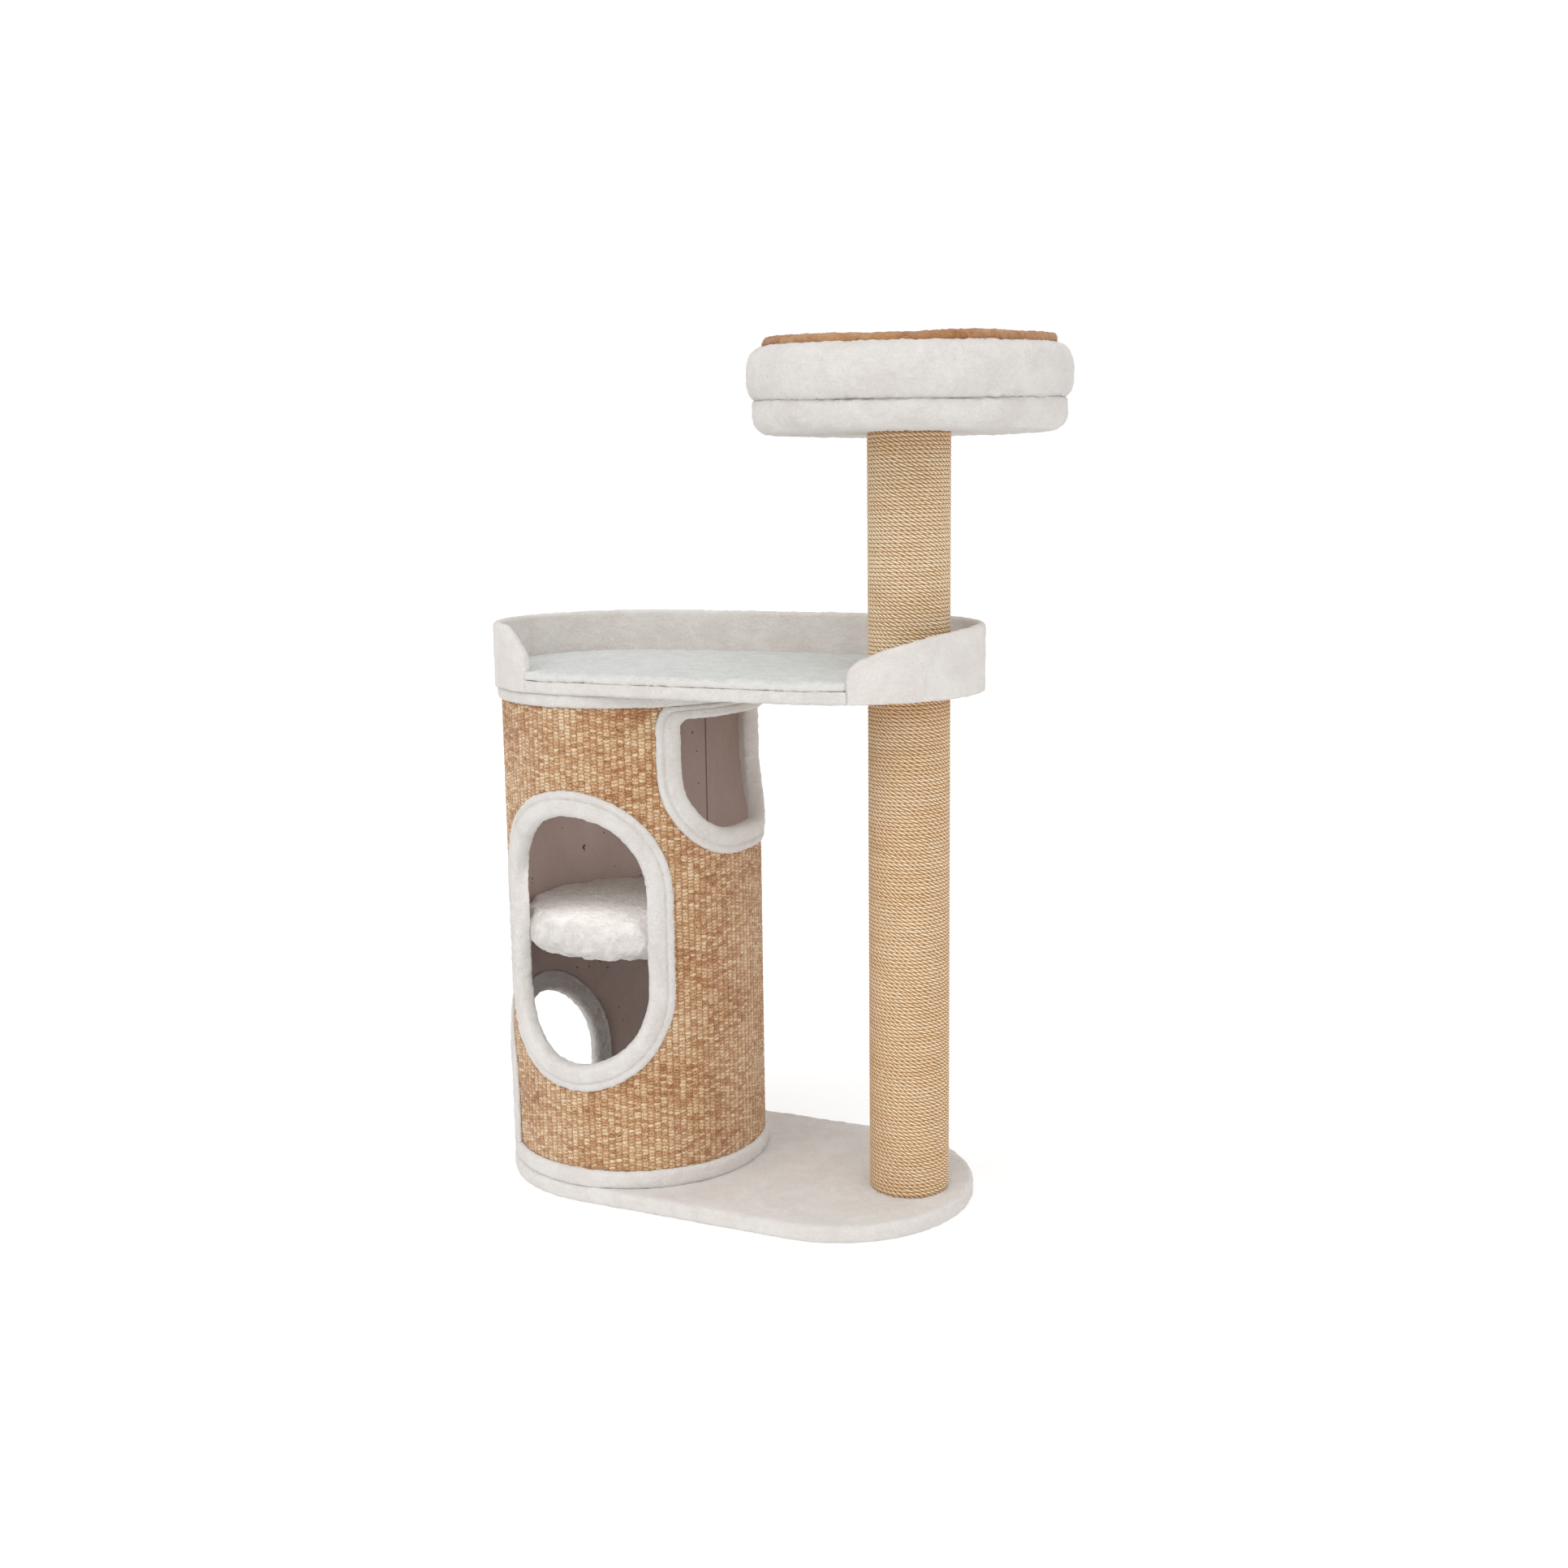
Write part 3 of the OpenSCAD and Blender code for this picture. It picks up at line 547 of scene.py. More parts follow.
def colours_at(tree, value, stops):
    """The colour that a value stands for, between the stops given as pairs of a value and its colour."""
    ramp = node(tree, "ValToRGB", {"Fac": value})
    ends = ramp.color_ramp.elements
    for end, (position, colour) in zip((ends[0], ends[1]), (stops[0], stops[-1])):
        end.position, end.color = position, (*colour, 1)
    for position, colour in stops[1:-1]:
        ends.new(position).color = (*colour, 1)
    return ramp.outputs["Color"]


sisal_finish, tree, surface = finish_of(
    "sisal_weave", 0.85, Specular_IOR_Level=0.2, Sheen_Weight=0.25, Sheen_Roughness=0.5)
flat_cloth = node(tree, "UVMap", uv_map="weave").outputs["UV"]
# Uneven yarn pushes the knots a little out of line
push = node(tree, "TexNoise", {"Vector": flat_cloth, "Scale": 240.0, "Detail": 2.0}).outputs["Color"]
push = vector_maths(tree, "SUBTRACT", push, (0.5, 0.5, 0.5))
cloth = vector_maths(tree, "ADD", flat_cloth, vector_maths(tree, "MULTIPLY", push, (0.0070, 0.0050, 0.0)))
ways = node(tree, "SeparateXYZ", {0: cloth})
rib_number = maths(tree, "DIVIDE", ways.outputs["X"], whole_turn / RIBS)
rib_index = maths(tree, "FLOOR", rib_number)
odd = maths(tree, "MULTIPLY", maths(tree, "MODULO", rib_index, 2.0), 0.5)
knot_t = (sisal_high - sisal_low) / KNOTS
knot_number = maths(tree, "ADD", maths(tree, "DIVIDE", ways.outputs["Y"], knot_t), odd)
knot_number = maths(tree, "SUBTRACT", knot_number, sisal_low / knot_t)
knot_index = maths(tree, "FLOOR", knot_number)
# Each knot is a rounded bump, one rib wide
across_rib = half_round(tree, maths(tree, "FRACT", rib_number))
along_rib = half_round(tree, maths(tree, "FRACT", knot_number))
knot_rise = maths(
    tree, "MULTIPLY", maths(tree, "POWER", across_rib, 0.6), maths(tree, "POWER", along_rib, 0.5))
# The yarn's colour changes from knot to knot, along each weft, from hair to hair and over wide patches
cell = node(tree, "CombineXYZ", {"X": rib_index, "Y": knot_index}).outputs[0]
each_knot = node(tree, "TexWhiteNoise", {"Vector": cell}, noise_dimensions="2D").outputs["Value"]
weft = noise(tree, vector_maths(tree, "MULTIPLY", cloth, (60.0, 190.0, 1.0)), 1.0, 3.0, 0.7)
hair = noise(tree, flat_cloth, 430.0, 3.0, 0.8)
wide = noise(tree, flat_cloth, 9.0, 2.0)
mixed = maths(tree, "MULTIPLY_ADD", each_knot, 0.15, maths(tree, "MULTIPLY", weft, 0.34))
mixed = maths(tree, "ADD", mixed, maths(tree, "MULTIPLY", wide, 0.20))
mixed = maths(tree, "ADD", mixed, maths(tree, "MULTIPLY", hair, 0.80))
yarn = colours_at(tree, mixed, (
    (0.58, (0.26, 0.075, 0.028)), (0.66, (0.48, 0.22, 0.09)),
    (0.75, (0.70, 0.425, 0.215)), (0.87, (0.92, 0.725, 0.49)),
))
# The gaps between the knots are painted dark brown, as shade in the weave's hollows
clear_of_gap_shade = ramped(tree, knot_rise, 0.10, 0.70, 0.28)
tree.links.new(blended(tree, clear_of_gap_shade, (0.27, 0.125, 0.055, 1), yarn), surface.inputs["Base Color"])
relief = maths(tree, "MULTIPLY_ADD", hair, 0.9, knot_rise)
bump = node(tree, "Bump", {"Height": relief, "Distance": 0.0018, "Strength": 1.0})
tree.links.new(bump.outputs["Normal"], surface.inputs["Normal"])
dress(sisal_cloth, sisal_finish)


# ---- Barrel bands and floor mat ----
# Plush strips glued round the foot and the head of the barrel, over the sisal's cut edges,
# and a plush disc on the floor inside.

def ring_piece(name, section, radius, slot, stands_for, step=0.003):
    """A closed section of (radius, height) points, turned once round an upright axis. The axis is the
    middle of the CAD node's box."""
    low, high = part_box(stands_for)
    angle = np.linspace(0, 2 * math.pi, int(2 * math.pi * radius / step) + 1)[:-1]
    points = np.stack([
        (low.x + high.x) / 2 + section[:, :1] * np.sin(angle),
        -section[:, :1] * np.cos(angle),
        np.broadcast_to(section[:, 1:], (len(section), len(angle))),
    ], -1).reshape(-1, 3)
    return make_piece(name, points, grid_faces(len(section), len(angle), True), slot, stands_for)


def band_section(out, back, low, high, bulge):
    """A strip's section: flat at its back, and at its face half an oval, whose cosine and sine are raised
    to a power."""
    turn = np.radians(np.linspace(-90, 90, 13))
    power = 0.55
    face = np.stack([
        out - bulge + bulge * np.sign(np.cos(turn)) * np.abs(np.cos(turn)) ** power,
        (low + high) / 2 + (high - low) / 2 * np.sign(np.sin(turn)) * np.abs(np.sin(turn)) ** power,
    ], -1)
    return np.concatenate([spaced(face, 0.0028), [(back, high), (back, low)]])


BANDS = (("foot_band_plush", "barrel_foot_band", 31), ("head_band_plush", "barrel_head_band", 34))
for band, node_name, seed in BANDS:
    low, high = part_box(node_name)
    out = (high.x - low.x) / 2
    section = band_section(out + 0.0004, shell_r + 0.0002, low.z, high.z, 0.007)
    strip = ring_piece(band, section, out, "plush_cream", node_name)
    raise_pile(strip, 0.0010, seed)
    dress(strip, cream_plush)

mat_low, mat_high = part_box("barrel_floor_mat")
mat_r = (mat_high.x - mat_low.x) / 2
floor_profile = np.concatenate([
    spaced([(mat_r, mat_high.z), (0.002, mat_high.z), (0.0002, mat_high.z - 0.0015)], 0.004),
    [(0.0002, mat_low.z), (mat_r, mat_low.z)],
])
points, faces = round_ended(floor_profile, 0, 0, mat_r, 0.004)
floor_mat = make_piece("floor_mat_plush", points + (barrel_x, 0, 0), faces, "plush_cream", "barrel_floor_mat")
raise_pile(floor_mat, 0.0009, 37)
dress(floor_mat, cream_plush)


# ---- Opening trims ----
# A folded plush strip round each opening: one flap on the sisal, with a line of stitching near its outer
# edge, a full lip round the cut edge of the wall, and one flap on the lining inside.

# Distance from the opening's edge and radius, from the inner flap's edge round the lip to the outer flap's
TRIM_FACE = [
    (0.0340, 0.1845), (0.0325, 0.1822), (0.0285, 0.1818), (0.0268, 0.1832), (0.0250, 0.1818),
    (0.0080, 0.1812), (0.0036, 0.1824), (0.0008, 0.1860), (-0.0004, 0.1925), (0.0006, 0.1995),
    (0.0036, 0.2040), (0.0085, 0.2058), (0.0150, 0.2056), (0.0232, 0.2048), (0.0262, 0.2018),
    (0.0292, 0.2044), (0.0335, 0.2044), (0.0368, 0.2027), (0.0378, 0.1999),
]
TRIM_BACK = [(0.0300, 0.1997), (0.0042, 0.1997), (0.0042, 0.1858), (0.0300, 0.1858)]


def opening_outline(opening, step, arch):
    """Points of an opening's outline in the unrolled face with their outward directions. An arch starts and
    ends at its foot; another outline is a loop that starts at the middle of its lower edge."""
    half, low, high, low_r, high_r = opening
    turns = np.radians(np.linspace(0, 90, 31))
    top = np.stack([half - high_r + high_r * np.cos(turns), high - high_r + high_r * np.sin(turns)], -1)
    foot = np.stack([half - low_r + low_r * np.sin(turns), low + low_r - low_r * np.cos(turns)], -1)
    right = np.concatenate([[(half, low)], top] if arch else [[(0, low)], foot, top])
    if not arch:
        right = np.concatenate([right, [(0, high)]])
    left = right[::-1] * (-1, 1)
    line = np.concatenate([right, left])
    keep = np.r_[True, np.linalg.norm(np.diff(line, axis=0), axis=1) > 1e-7]
    line = spaced(line[keep], step)
    if not arch:
        line = line[:-1]
        ahead, behind = np.roll(line, -1, 0), np.roll(line, 1, 0)
    else:
        ahead, behind = np.r_[line[1:], line[-1:]], np.r_[line[:1], line[:-1]]
    way = ahead - behind
    way /= np.linalg.norm(way, axis=1)[:, None]
    return line, np.stack([way[:, 1], -way[:, 0]], -1)


def trim_piece(name, opening, side, stands_for, seed, arch=False):
    """The trim's section carried round an opening: a section point lies its distance outward from the outline
    in the unrolled face, at its own radius. The flap is narrower where a band is closer than its width."""
    line, out = opening_outline(opening, 0.0027, arch)
    face = spaced(TRIM_FACE, 0.0026)
    section = np.concatenate([face, TRIM_BACK])
    room = np.where(out[:, 1] > 0.05, (sisal_high - 0.0006 - line[:, 1]) / np.maximum(out[:, 1], 0.05), 1.0)
    width = np.minimum(room / TRIM_FACE[-1][0], 1.0)
    distance = np.where(section[:, :1] > 0, section[:, :1] * width, section[:, :1])
    across = line[:, 0] + distance * out[:, 0]
    height = line[:, 1] + distance * out[:, 1]
    radius = np.broadcast_to(section[:, 1:], distance.shape)
    points = on_barrel(side + across / sisal_r, height, radius).reshape(-1, 3)
    faces = grid_faces(*distance.shape, closed_rows=True, closed_columns=not arch).tolist()
    if arch:
        rings = np.arange(len(section)) * len(line)
        faces += [rings.tolist(), (rings + len(line) - 1)[::-1].tolist()]
    trim = make_piece(name, points, faces, "plush_cream", stands_for)
    raise_pile(trim, 0.0014, seed)
    return dress(trim, cream_plush)


trim_piece("front_trim_plush", FRONT, 0.0, "front_opening_trim", 41)
trim_piece("upper_trim_plush", UPPER, math.pi / 2, "upper_opening_trim", 44)
trim_piece("lower_trim_plush", LOWER, -math.pi / 2, "lower_opening_trim", 47, arch=True)


# ---- Shelf in the barrel ----
# A round board with foam on it, wrapped in one plush cover that is drawn tight underneath, so the edge
# swells out round and full. It is held by screws through the barrel wall.

def remeshed(piece, voxel):
    """Rebuilds a closed shell with even faces, one voxel across."""
    even = piece.modifiers.new("even", "REMESH")
    even.mode = "VOXEL"
    even.voxel_size = voxel
    settle(piece)


def settle(piece):
    """Makes what a piece's modifiers show its own mesh, and takes the modifiers off."""
    shown = piece.evaluated_get(bpy.context.evaluated_depsgraph_get())
    mesh = bpy.data.meshes.new_from_object(shown)
    piece.modifiers.clear()
    old, piece.data = piece.data, mesh
    name = old.name
    bpy.data.meshes.remove(old)
    mesh.name = name
    mesh.polygons.foreach_set("use_smooth", np.ones(len(mesh.polygons), bool))


def plump(piece, voxel, pressure, reach, slack=0.0, held=None):
    """Fills a closed cover as foam does: cloth under pressure from inside for twenty frames, with no point
    allowed further than reach, or than its held share of it. Then one subdivision rounds the folds."""
    remeshed(piece, voxel)
    start = points_of(piece.data)
    cloth = piece.modifiers.new("cover", "CLOTH")
    cloth.settings.quality = 4
    cloth.settings.mass = 0.3
    cloth.settings.tension_stiffness = 12
    cloth.settings.compression_stiffness = 12
    cloth.settings.shear_stiffness = 4
    cloth.settings.bending_stiffness = 0.4
    cloth.settings.use_pressure = True
    cloth.settings.uniform_pressure_force = pressure
    cloth.settings.shrink_min = -slack
    cloth.settings.effector_weights.gravity = 0
    cloth.collision_settings.use_collision = False
    cloth.point_cache.frame_start = 1
    cloth.point_cache.frame_end = 20
    for instant in range(1, 21):
        scene.frame_set(instant)
    settle(piece)
    scene.frame_set(1)
    moved = points_of(piece.data) - start
    allowed = reach * (np.ones(len(start)) if held is None else held(start))
    length = np.maximum(np.linalg.norm(moved, axis=1), 1e-9)
    put_points(piece.data, start + moved * (np.minimum(length, allowed) / length)[:, None])
    rounder = piece.modifiers.new("rounder", "SUBSURF")
    rounder.levels = rounder.render_levels = 1
    settle(piece)


shelf_low, shelf_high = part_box("shelf_cover")
shelf_r = (shelf_high.x - shelf_low.x) / 2
half_t = (shelf_high.z - shelf_low.z) / 2
turn = np.radians(np.linspace(90, -90, 25))
# The edge's section is an oval, its cosine and sine raised to a power, so it is fuller than an ellipse
full = 2 / 2.8
shelf_profile = np.concatenate([[(shelf_r, half_t)], np.stack([
    half_t - half_t * np.abs(np.cos(turn)) ** full,
    half_t * np.sign(np.sin(turn)) * np.abs(np.sin(turn)) ** full,
], -1), [(shelf_r, -half_t)]]) + (0, (shelf_low.z + shelf_high.z) / 2)
points, faces = round_ended(shelf_profile, 0, 0, shelf_r, 0.006)
shelf_pillow = make_piece("shelf_pillow", points + (barrel_x, 0, 0), faces, "plush_cream", "shelf_cover")
plump(shelf_pillow, 0.005, 4.0, 0.004, slack=0.05)
raise_pile(shelf_pillow, 0.0016, 51)
brushed_plush = fibre_finish(
    "brushed_plush", (0.91, 0.88, 0.845), (0.68, 0.625, 0.59), 0.02, 0.004, 0.0018, **PLUSH)
dress(shelf_pillow, brushed_plush)

upholstery_foam = fibre_finish(
    "upholstery_foam", (0.80, 0.74, 0.50), (0.66, 0.60, 0.38), 0.03, 0.0015, 0.0005)
coat(upholstery_foam, "shelf_foam", "bed_pad_foam", "bed_liner_foam")


# ---- Posts ----
# Board tubes with plastic plugs in their ends, wound from end to end with one jute rope each, glued turn
# to turn. The rope is laid from strands that slant down to the right.

ROPE_PITCH = 0.0058
STRAND = 0.0084
STRAND_SKEW = 1.3
ROPE_COLUMNS = 140
ROPE_ROWS = 5
# How far the winding stays inside its CAD node's two ends, and how far its half round stands out
ROPE_GAP = 0.0006
ROPE_RISE = 0.0012


def rope_winding(name, stands_for):
    """A rope wound up a tube: rows follow the helix, five to a turn, so that the last column of a row is the
    first of the row one turn up. Across a turn the radius follows a sine, as the rope's half round does. Four
    plain rings close it: two below and above it, and two on the tube."""
    low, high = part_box(stands_for)
    rope_r = (high.x - low.x) / 2
    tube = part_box(stands_for.replace("rope", "tube"))
    tube_r = (tube[1].x - tube[0].x) / 2
    turns = int((high.z - low.z) / ROPE_PITCH) - 1
    pitch = (high.z - low.z - 2 * ROPE_GAP) / (turns + 1)
    rows = turns * ROPE_ROWS + 1
    turn_share = np.arange(ROPE_COLUMNS) / ROPE_COLUMNS
    step = np.arange(rows + ROPE_ROWS)[:, None] / ROPE_ROWS
    angle = turn_share * 2 * math.pi + math.pi
    centre = (low.x + high.x) / 2

    def round_post(radius, height):
        return np.stack([centre + radius * np.sin(angle), -radius * np.cos(angle), height + 0 * angle], -1)

    def point_at(row, column):
        return row * ROPE_COLUMNS + column

    radius = rope_r - 0.0013 + ROPE_RISE * np.sin(math.pi * (step % 1.0)) ** 0.75
    wound = round_post(radius, low.z + ROPE_GAP + pitch * (step + turn_share))[:rows]
    under_rope, on_tube = rope_r - 0.0015, tube_r + 0.0003
    foot, head = low.z + 0.0001, high.z - 0.0001
    ring_places = ((under_rope, foot), (on_tube, foot), (on_tube, head), (under_rope, head))
    rings = [round_post(*ring_place) for ring_place in ring_places]
    last = ROPE_COLUMNS - 1
    row, column = np.arange(rows - 1)[:, None], np.arange(last)[None, :]
    faces = np.stack([
        point_at(row, column), point_at(row, column + 1),
        point_at(row + 1, column + 1), point_at(row + 1, column),
    ], -1).reshape(-1, 4).tolist()
    row = np.arange(rows - 1 - ROPE_ROWS)
    faces += np.stack([
        point_at(row, last), point_at(row + ROPE_ROWS, 0),
        point_at(row + ROPE_ROWS + 1, 0), point_at(row + 1, last),
    ], -1).tolist()
    ring = [point_at(rows + i, 0) for i in range(4)]
    top = point_at(rows - 1, 0)
    edge = np.arange(last)
    for below, above in ((ring[0], 0), (top, ring[3])):
        faces += np.stack([below + edge, below + edge + 1, above + edge + 1, above + edge], -1).tolist()
    faces.append([ring[0] + last, ring[0], *[point_at(r, 0) for r in range(ROPE_ROWS + 1)], last])
    faces.append([
        top + last, *[point_at(rows - 2 - r, last) for r in range(ROPE_ROWS)], top, ring[3], ring[3] + last])
    edge = np.arange(ROPE_COLUMNS)
    after = (edge + 1) % ROPE_COLUMNS
    for below, above in ((ring[1], ring[0]), (ring[2], ring[1]), (ring[3], ring[2])):
        faces += np.stack([below + edge, below + after, above + after, above + edge], -1).tolist()
    points = np.concatenate([wound.reshape(-1, 3), *rings])
    return make_piece(name, points, faces, "jute_rope", stands_for), centre, low.z + ROPE_GAP, pitch


def lay_out(winding, centre, start, pitch):
    """The rope's own map: u counts turns along it, and v runs from 0 to 1 across each turn."""
    points, starts, owner = corners_of(winding.data)
    share = (np.arctan2(points[:, 0] - centre, -points[:, 1]) + math.pi) / (2 * math.pi) % 1.0
    share = past_seam(share, 1.0, starts, owner)
    step = (points[:, 2] - start) / pitch - share
    turn = np.floor(np.add.reduceat(step, starts) / np.bincount(owner))[owner]
    give_map(winding.data, "rope", turn + share, np.clip(step - turn, 0, 1))


jute_finish, tree, surface = finish_of("jute_rope", 0.8, Specular_IOR_Level=0.25)
rope_way = node(tree, "SeparateXYZ", {0: node(tree, "UVMap", uv_map="rope").outputs["UV"]})
turns_up, over_rope = rope_way.outputs["X"], rope_way.outputs["Y"]
this_turn = maths(tree, "FLOOR", turns_up)
lower_rope_low, lower_rope_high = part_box("lower_post_rope")
strands_a_turn = math.pi * (lower_rope_high.x - lower_rope_low.x) / STRAND
strand_number = maths(
    tree, "MULTIPLY_ADD", over_rope, STRAND_SKEW, maths(tree, "MULTIPLY", turns_up, strands_a_turn))
# Each turn's strands start anywhere, and the twist is a little tighter in some places than in others
turn_start = node(tree, "TexWhiteNoise", {"W": this_turn}, noise_dimensions="1D")
strand_number = maths(tree, "ADD", strand_number, turn_start.outputs["Value"])
uneven = node(tree, "TexNoise", {"W": turns_up, "Scale": 9.0, "Detail": 1.0}, noise_dimensions="1D")
strand_number = maths(tree, "MULTIPLY_ADD", uneven.outputs["Fac"], 1.6, strand_number)
strand_round = half_round(tree, maths(tree, "FRACT", strand_number))
rope_round = half_round(tree, over_rope)
# Threads run along each strand, so their noise is stretched the way the strand lies
thread_place = node(tree, "CombineXYZ", {
    "X": maths(tree, "MULTIPLY", strand_number, 5.0), "Y": maths(tree, "MULTIPLY", over_rope, 0.8),
    "Z": this_turn,
}).outputs[0]
threads = noise(tree, thread_place, 1.0, 3.0, 0.65)
place = node(tree, "TexCoord").outputs["Object"]
bands = noise(tree, vector_maths(tree, "MULTIPLY", place, (1.0, 1.0, 6.0)), 9.0, 2.0)
tone = maths(tree, "MULTIPLY_ADD", threads, 0.55, maths(tree, "MULTIPLY", bands, 0.20))
# Painted shade and highlight: the yarn is darker in the gaps between strands and lighter on their crowns
tone = maths(tree, "ADD", tone, maths(tree, "MULTIPLY", strand_round, 0.42))
jute = colours_at(tree, tone, (
    (0.40, (0.42, 0.22, 0.09)), (0.54, (0.70, 0.45, 0.225)),
    (0.66, (0.87, 0.64, 0.385)), (0.82, (0.98, 0.88, 0.70)),
))
# The groove between turns is painted dark brown, as shade
clear_of_groove_shade = ramped(tree, rope_round, 0.10, 0.62, 0.10)
wound = blended(tree, clear_of_groove_shade, (0.40, 0.215, 0.09, 1), jute)
# Painted shade: the lower post's rope is a little darker and browner all over than the upper's, and both are
# darkest at their heads, just under the platform and the bed
PAINTED_SHADE_REACH = 0.05
upper_rope_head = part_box("upper_post_rope")[1].z
up = node(tree, "SeparateXYZ", {0: place}).outputs["Z"]
lower_head_shade, upper_head_shade = [
    ramped(tree, up, head - PAINTED_SHADE_REACH, head) for head in (lower_rope_high.z, upper_rope_head)]
on_lower = maths(tree, "LESS_THAN", up, lower_rope_high.z + 0.001)
lower_rope_shade = maths(tree, "MULTIPLY", maths(tree, "MULTIPLY_ADD", lower_head_shade, 0.6, 0.38), on_lower)
brown = maths(tree, "MAXIMUM", maths(tree, "MULTIPLY", upper_head_shade, 0.6), lower_rope_shade)
shade = blended(tree, brown, (1, 1, 1, 1), (0.80, 0.64, 0.52, 1))
tree.links.new(blended(tree, 1.0, wound, shade, blend_type="MULTIPLY"), surface.inputs["Base Color"])
relief = maths(tree, "MULTIPLY_ADD", threads, 0.6, maths(tree, "POWER", strand_round, 0.7))
bump = node(tree, "Bump", {"Height": relief, "Distance": 0.0013, "Strength": 1.0})
tree.links.new(bump.outputs["Normal"], surface.inputs["Normal"])

for post in ("lower", "upper"):
    winding, *layout = rope_winding(f"{post}_rope_winding", f"{post}_post_rope")
    lay_out(winding, *layout)
    dress(winding, jute_finish)

black_plastic = fibre_finish(
    "black_plastic", (0.03, 0.03, 0.032), (0.02, 0.02, 0.021), 0.02, 0.002, 0.00005, 0.45)
for post in ("lower_post", "upper_post"):
    coat(kraft_card, f"{post}_tube")
    coat(black_plastic, f"{post}_bottom_plug", f"{post}_top_plug")


# ---- Platform ----
# A board with two round ends. Plush covers its underside and its front edge, and a thin padded mat lies on
# top, with a hole for the upper post. Both are cut back at the ends and the back, where the rim wall stands.

deck_low, deck_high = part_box("platform_cover")
wall_low, wall_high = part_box("rim_wall_cover")
deck_r = wall_high.y
deck_left, deck_right = wall_low.x + deck_r, wall_high.x - deck_r
WALL_T = 0.012
# The cover's front edge reaches this far behind each of the rim wall's ends
TUCK = 0.005
LEFT_END_X = deck_left - 0.064
RIGHT_END_X = deck_right + 0.081


def behind_wall(centre, angle):
    """The share by which the outline is drawn in: the wall's thickness where the wall stands, and none along
    the front."""
    x, y = centre + deck_r * np.cos(angle), deck_r * np.sin(angle)
    open_front = (y < 0) & (x > LEFT_END_X - TUCK) & (x < RIGHT_END_X + TUCK)
    return np.where(open_front, 0.0, WALL_T / deck_r)


cover_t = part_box("platform_board")[0].z - deck_low.z
deck_profile = np.concatenate([
    [(deck_r, deck_low.z + cover_t), (deck_r * 0.5, deck_low.z + cover_t), (cover_t, deck_low.z + cover_t)],
    [(cover_t, deck_high.z - 0.0002), (0.0006, deck_high.z - 0.0002)],
    spaced([(0, deck_high.z - 0.0010), (0, deck_low.z + 0.004), (0.0012, deck_low.z + 0.0012),
            (0.004, deck_low.z), (deck_r, deck_low.z)], 0.003),
])
platform_plush = make_piece(
    "platform_plush", *round_ended(deck_profile, deck_left, deck_right, deck_r, 0.0032, behind_wall),
    "plush_cream", "platform_cover")
raise_pile(platform_plush, 0.0010, 71)
dress(platform_plush, cream_plush)
coat(chipboard, "platform_board")

mat_low, mat_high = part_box("platform_mat")
mat_t = mat_high.z - mat_low.z
turn = np.radians(np.linspace(90, 0, 7))
mat_profile = np.concatenate([[(deck_r, mat_t / 2 - 0.001)], np.stack([
    mat_t / 2 - mat_t / 2 * np.cos(turn) ** 0.8, (mat_t / 2 - 0.001) * np.sin(turn) ** 0.8,
], -1), [(0, 0.0002 - mat_t / 2), (deck_r, 0.0002 - mat_t / 2)]]) + (0, (mat_low.z + mat_high.z) / 2)
lying_mat = make_piece(
    "lying_mat", *round_ended(mat_profile, deck_left, deck_right, deck_r + 0.0004, 0.006, behind_wall),
    "plush_grey", "platform_mat")
post_low, post_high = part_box("upper_post_rope")
post_x, post_r = (post_low.x + post_high.x) / 2, (post_high.x - post_low.x) / 2
bpy.ops.mesh.primitive_cylinder_add(
    vertices=96, radius=post_r + 0.0012, depth=4 * mat_t, location=(post_x, 0, (mat_low.z + mat_high.z) / 2))
post_cutter = bpy.context.object
hole = lying_mat.modifiers.new("post_hole", "BOOLEAN")
hole.operation = "DIFFERENCE"
hole.object = post_cutter
settle(lying_mat)
bpy.data.objects.remove(post_cutter)


def above_board(points):
    """The mat may only swell upwards: its underside lies on the board."""
    return np.clip((points[:, 2] - mat_low.z - 0.002) / (mat_t - 0.004), 0, 1)


plump(lying_mat, 0.0042, 2.0, 0.0025, slack=0.04, held=above_board)
raise_pile(lying_mat, 0.0017, 74)
grey_plush = fibre_finish(
    "grey_plush", (0.885, 0.90, 0.875), (0.70, 0.715, 0.69), 0.026, 0.0036, 0.0018, **PLUSH)
# The mat is bound in cream plush along its edge
tree = grey_plush.node_tree
surface = tree.nodes["Principled BSDF"]
top = surface.inputs["Base Color"].links[0].from_socket
up = node(tree, "SeparateXYZ", {0: node(tree, "TexCoord").outputs["Object"]}).outputs["Z"]
above_binding = ramped(tree, up, mat_high.z - 0.005, mat_high.z - 0.002)
tree.links.new(blended(tree, above_binding, (0.87, 0.84, 0.80, 1), top), surface.inputs["Base Color"])
dress(lying_mat, grey_plush)


# ---- Rim wall ----
# A thin board bent round the ends and the back of the platform and screwed to its edge, in a plush sleeve.
# Both front ends are low, and rise in a curve to the wall's full height.

RISE_POWER = 0.55
CORNER_R = 0.010
END_HEIGHT = 0.040
LEFT_RISE = 0.050
wall_h = wall_high.z - wall_low.z
mid_r = deck_r - WALL_T / 2
left_end = math.pi + math.acos((deck_left - LEFT_END_X) / mid_r)
right_end = -math.acos((RIGHT_END_X - deck_right) / mid_r)
stride = 0.0028
turns_left = np.linspace(left_end, math.pi / 2, int(mid_r * (left_end - math.pi / 2) / stride))
turns_right = np.linspace(math.pi / 2, right_end, int(mid_r * (math.pi / 2 - right_end) / stride))
run = np.linspace(deck_left, deck_right, int((deck_right - deck_left) / stride))[1:-1]
wall_x = np.concatenate([np.full(len(turns_left), deck_left), run, np.full(len(turns_right), deck_right)])
wall_angle = np.concatenate([turns_left, np.full(len(run), math.pi / 2), turns_right])
